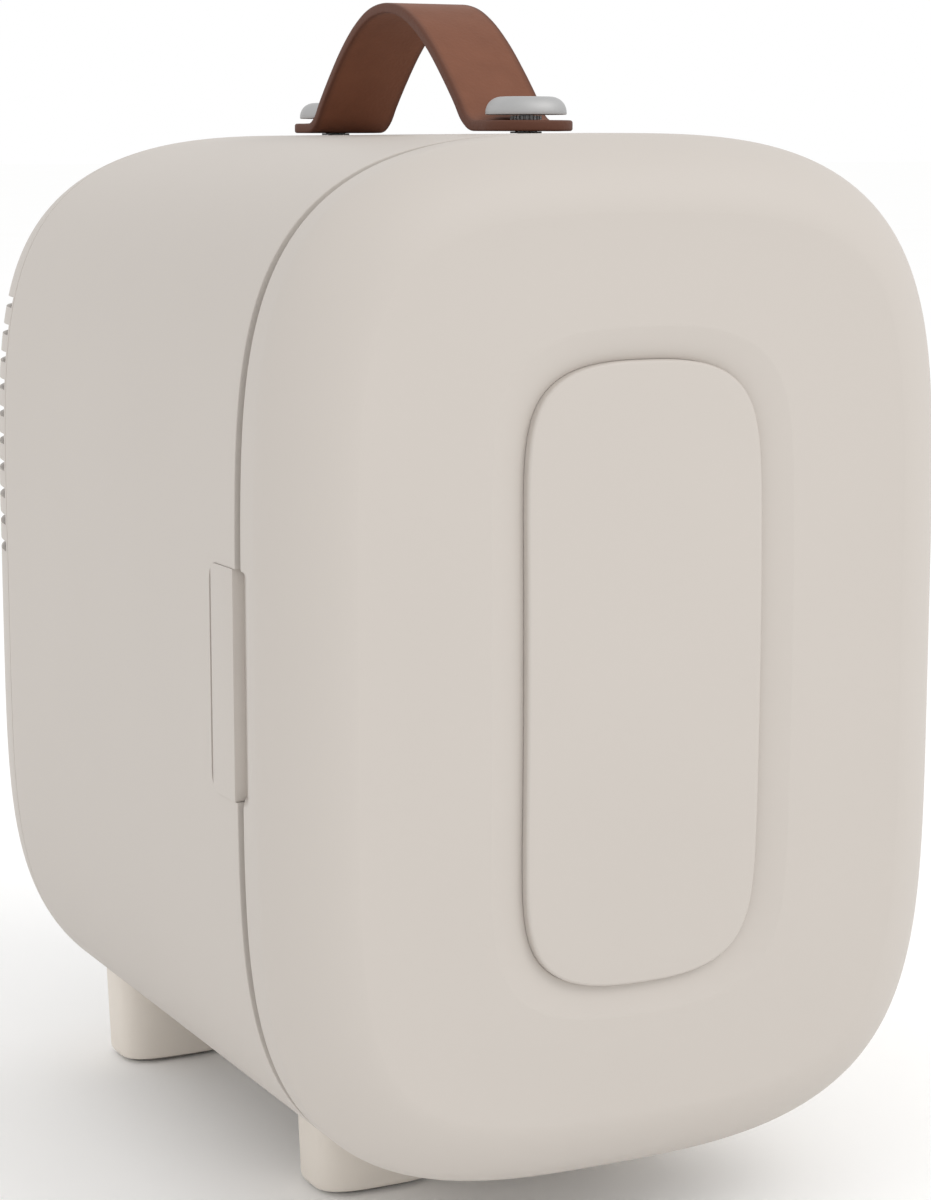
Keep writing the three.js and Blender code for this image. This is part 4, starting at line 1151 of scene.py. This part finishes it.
def door_pan():
    """Formed inner skin of the door: a flat rim and a plug that stands into the cabin."""
    rear = DOOR_REAR_Y + 0.1
    plug_y = box_mm("door_liner")[1].y
    skin_thick = 1.8
    rings = [ring(PLUG, plug_y - skin_thick, 6), ring(PLUG, rear - skin_thick, skin_thick)]
    rings += [ring(BODY, rear - skin_thick, WALL + 0.4), ring(BODY, rear, WALL + 0.4)]
    rings += [ring(PLUG, rear + along, -across) for across, along in quarter_round(1.2, 5)]
    rings += [ring(PLUG, y, inset) for inset, y in corner(3, 1.4, plug_y)]
    pan = skin("door_pan", rings, liner_hips)
    room_half = LATCH_HALF + 0.6
    low = (-91, SEAM_Y - 13, MIDDLE_Z - room_half)
    carve(pan, [block("catch_room", low, (-80.5, SEAM_Y + 6, MIDDLE_Z + room_half))])
    return fit(pan, "door", "liner_plastic", "door_liner")


def door_seal():
    """Bellows seal round the plug."""
    low = box_mm("door_gasket")[0]
    steps = [(12.5, 0), (12.3, 0.5), (13.1, 0.9), (12.8, 1.5), (13.5, 2.5), (13.9, 2.8)]
    steps += [(16.1, 2.8), (16.5, 2.5), (17.2, 1.5), (16.9, 0.9), (17.7, 0.5), (17.5, 0)]
    rings = [ring(BODY, low.y + back, inset) for inset, back in steps]
    return fit(skin("door_seal", rings, grey_rubber, looped=True), "door", "rubber", "door_gasket", angle=60)


cabin_tub()
door_pan()
door_seal()


# ---------- cooling stack ----------
def finned_sink():
    """Extruded sink: a base with a row of straight fins."""
    low, high = box_mm("heat_sink")
    half = FINS["thick"] / 2
    gaps = FINS["count"] - 1
    base = block("base", low, (high.x, low.y + FINS["base"], high.z), cast_aluminium)
    fin = block("fin", (-half, low.y + FINS["base"] - 0.1, low.z), (half, high.y, high.z), cast_aluminium)
    soften(fin, 0.2)
    pitch = (high.x - low.x - 1) / gaps
    fins = pattern(
        "fins", row_tree, fin, Count=FINS["count"], PitchX=pitch * MM, PitchZ=0.0, Finish=cast_aluminium
    )
    fins.data.transform(Matrix.Translation((-gaps / 2 * pitch * MM, 0, 0)))
    return fit(merged([base, fins], "finned_sink"), "cabinet", "aluminium", "heat_sink")


def fan_impeller():
    """Seven twisted blades on a domed hub, with the shaft."""
    low = box_mm("fan_rotor")[0]
    rings = []
    for share in np.linspace(0, 1, 9):
        out = BLADES["root"] + BLADES["reach"] * share
        twist = BLADES["twist"] - BLADES["wash_out"] * share
        curl = rounded(8 - 1.2 * (1 - share), 0.55, 0.5, arc=3)
        bow = BLADES["bow"] * (1 - (curl[:, 0] / 8) ** 2)
        u = curl[:, 0] * math.cos(twist) - (curl[:, 1] + bow) * math.sin(twist)
        v = curl[:, 0] * math.sin(twist) + (curl[:, 1] + bow) * math.cos(twist)
        rings.append(np.c_[np.full(len(curl), out), u + 3 * share, v * 0.8])
    blade = skin("blade", rings, black_nylon)
    blades = pattern("blades", ring_tree, blade, Count=BLADES["count"], Finish=black_nylon)
    dome = [(13.4, -4.6), (13.4, 3.6), (13, 4.5), (12, 4.9), (0.2, 5)]
    hub = turned("hub", dome, (0, 0), black_nylon)
    shaft = turned("shaft", [(1.4, -5.2), (1.4, 7.7)], (0, 0), black_nylon, 24)
    whole = merged([hub, shaft, blades], "fan_impeller")
    middle = Vector((FAN_AXIS.x, low.y + 5.2, FAN_AXIS.z)) * MM
    whole.data.transform(Matrix.Translation(middle) @ Matrix.Rotation(-math.pi / 2, 4, "X"))
    return fit(whole, "fan", "dark_plastic", "fan_rotor")


finned_sink()
fan_impeller()

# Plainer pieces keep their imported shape, with broken edges: node, name, body, slot, finish, edge.
SMALL_PIECES = [
    ("cabin_foam", "cabinet_insulation", "cabinet", "foam", rigid_foam, 0.4),
    ("door_foam", "door_insulation", "door", "foam", rigid_foam, 0.4),
    ("cabin_shelf", "lift_out_shelf", "cabinet", "liner_plastic", liner_hips, 0.8),
    ("cold_plate", "cold_face", "cabinet", "aluminium", cast_aluminium, 0.4),
    ("thermoelectric_module", "thermoelectric_tile", "cabinet", "ceramic", alumina, 0.15),
    ("chassis_plate", "chassis_panel", "cabinet", "dark_plastic", black_nylon, 0.3),
    ("fan_frame", "fan_housing", "cabinet", "dark_plastic", black_nylon, 0.3),
    ("control_board", "driver_board", "cabinet", "board", solder_mask, 0.2),
    ("mains_inlet", "mains_socket", "cabinet", "dark_plastic", black_nylon, 0.25),
    ("dc_socket", "low_voltage_jack", "cabinet", "dark_plastic", black_nylon, 0.2),
    ("mode_switch", "mode_switch_case", "cabinet", "dark_plastic", black_nylon, 0.25),
    ("mode_rocker", "mode_rocker_cap", "rocker", "dark_plastic", black_nylon, 0.3),
    ("door_rack", "bottle_rack", "door", "liner_plastic", liner_hips, 0.6),
    ("latch_pin", "latch_axle", "cabinet", "steel", zinc_steel, 0.1),
    ("latch_spring", "latch_leaf", "cabinet", "steel", zinc_steel, 0.04),
]
for lift in ("upper", "lower"):
    SMALL_PIECES += [
        (f"hinge_base_{lift}", f"{lift}_hinge_base", "cabinet", "steel", zinc_steel, 0.1),
        (f"hinge_leaf_{lift}", f"{lift}_hinge_leaf", "door", "steel", zinc_steel, 0.1),
        (f"hinge_pin_{lift}", f"{lift}_hinge_pin", "cabinet", "steel", zinc_steel, 0.15),
    ]
for place in STUDS:
    SMALL_PIECES.append((f"stud_nut_{place}", f"{place}_nut", "cabinet", "steel", zinc_steel, 0.2))
for piece in SMALL_PIECES:
    dressed(*piece)
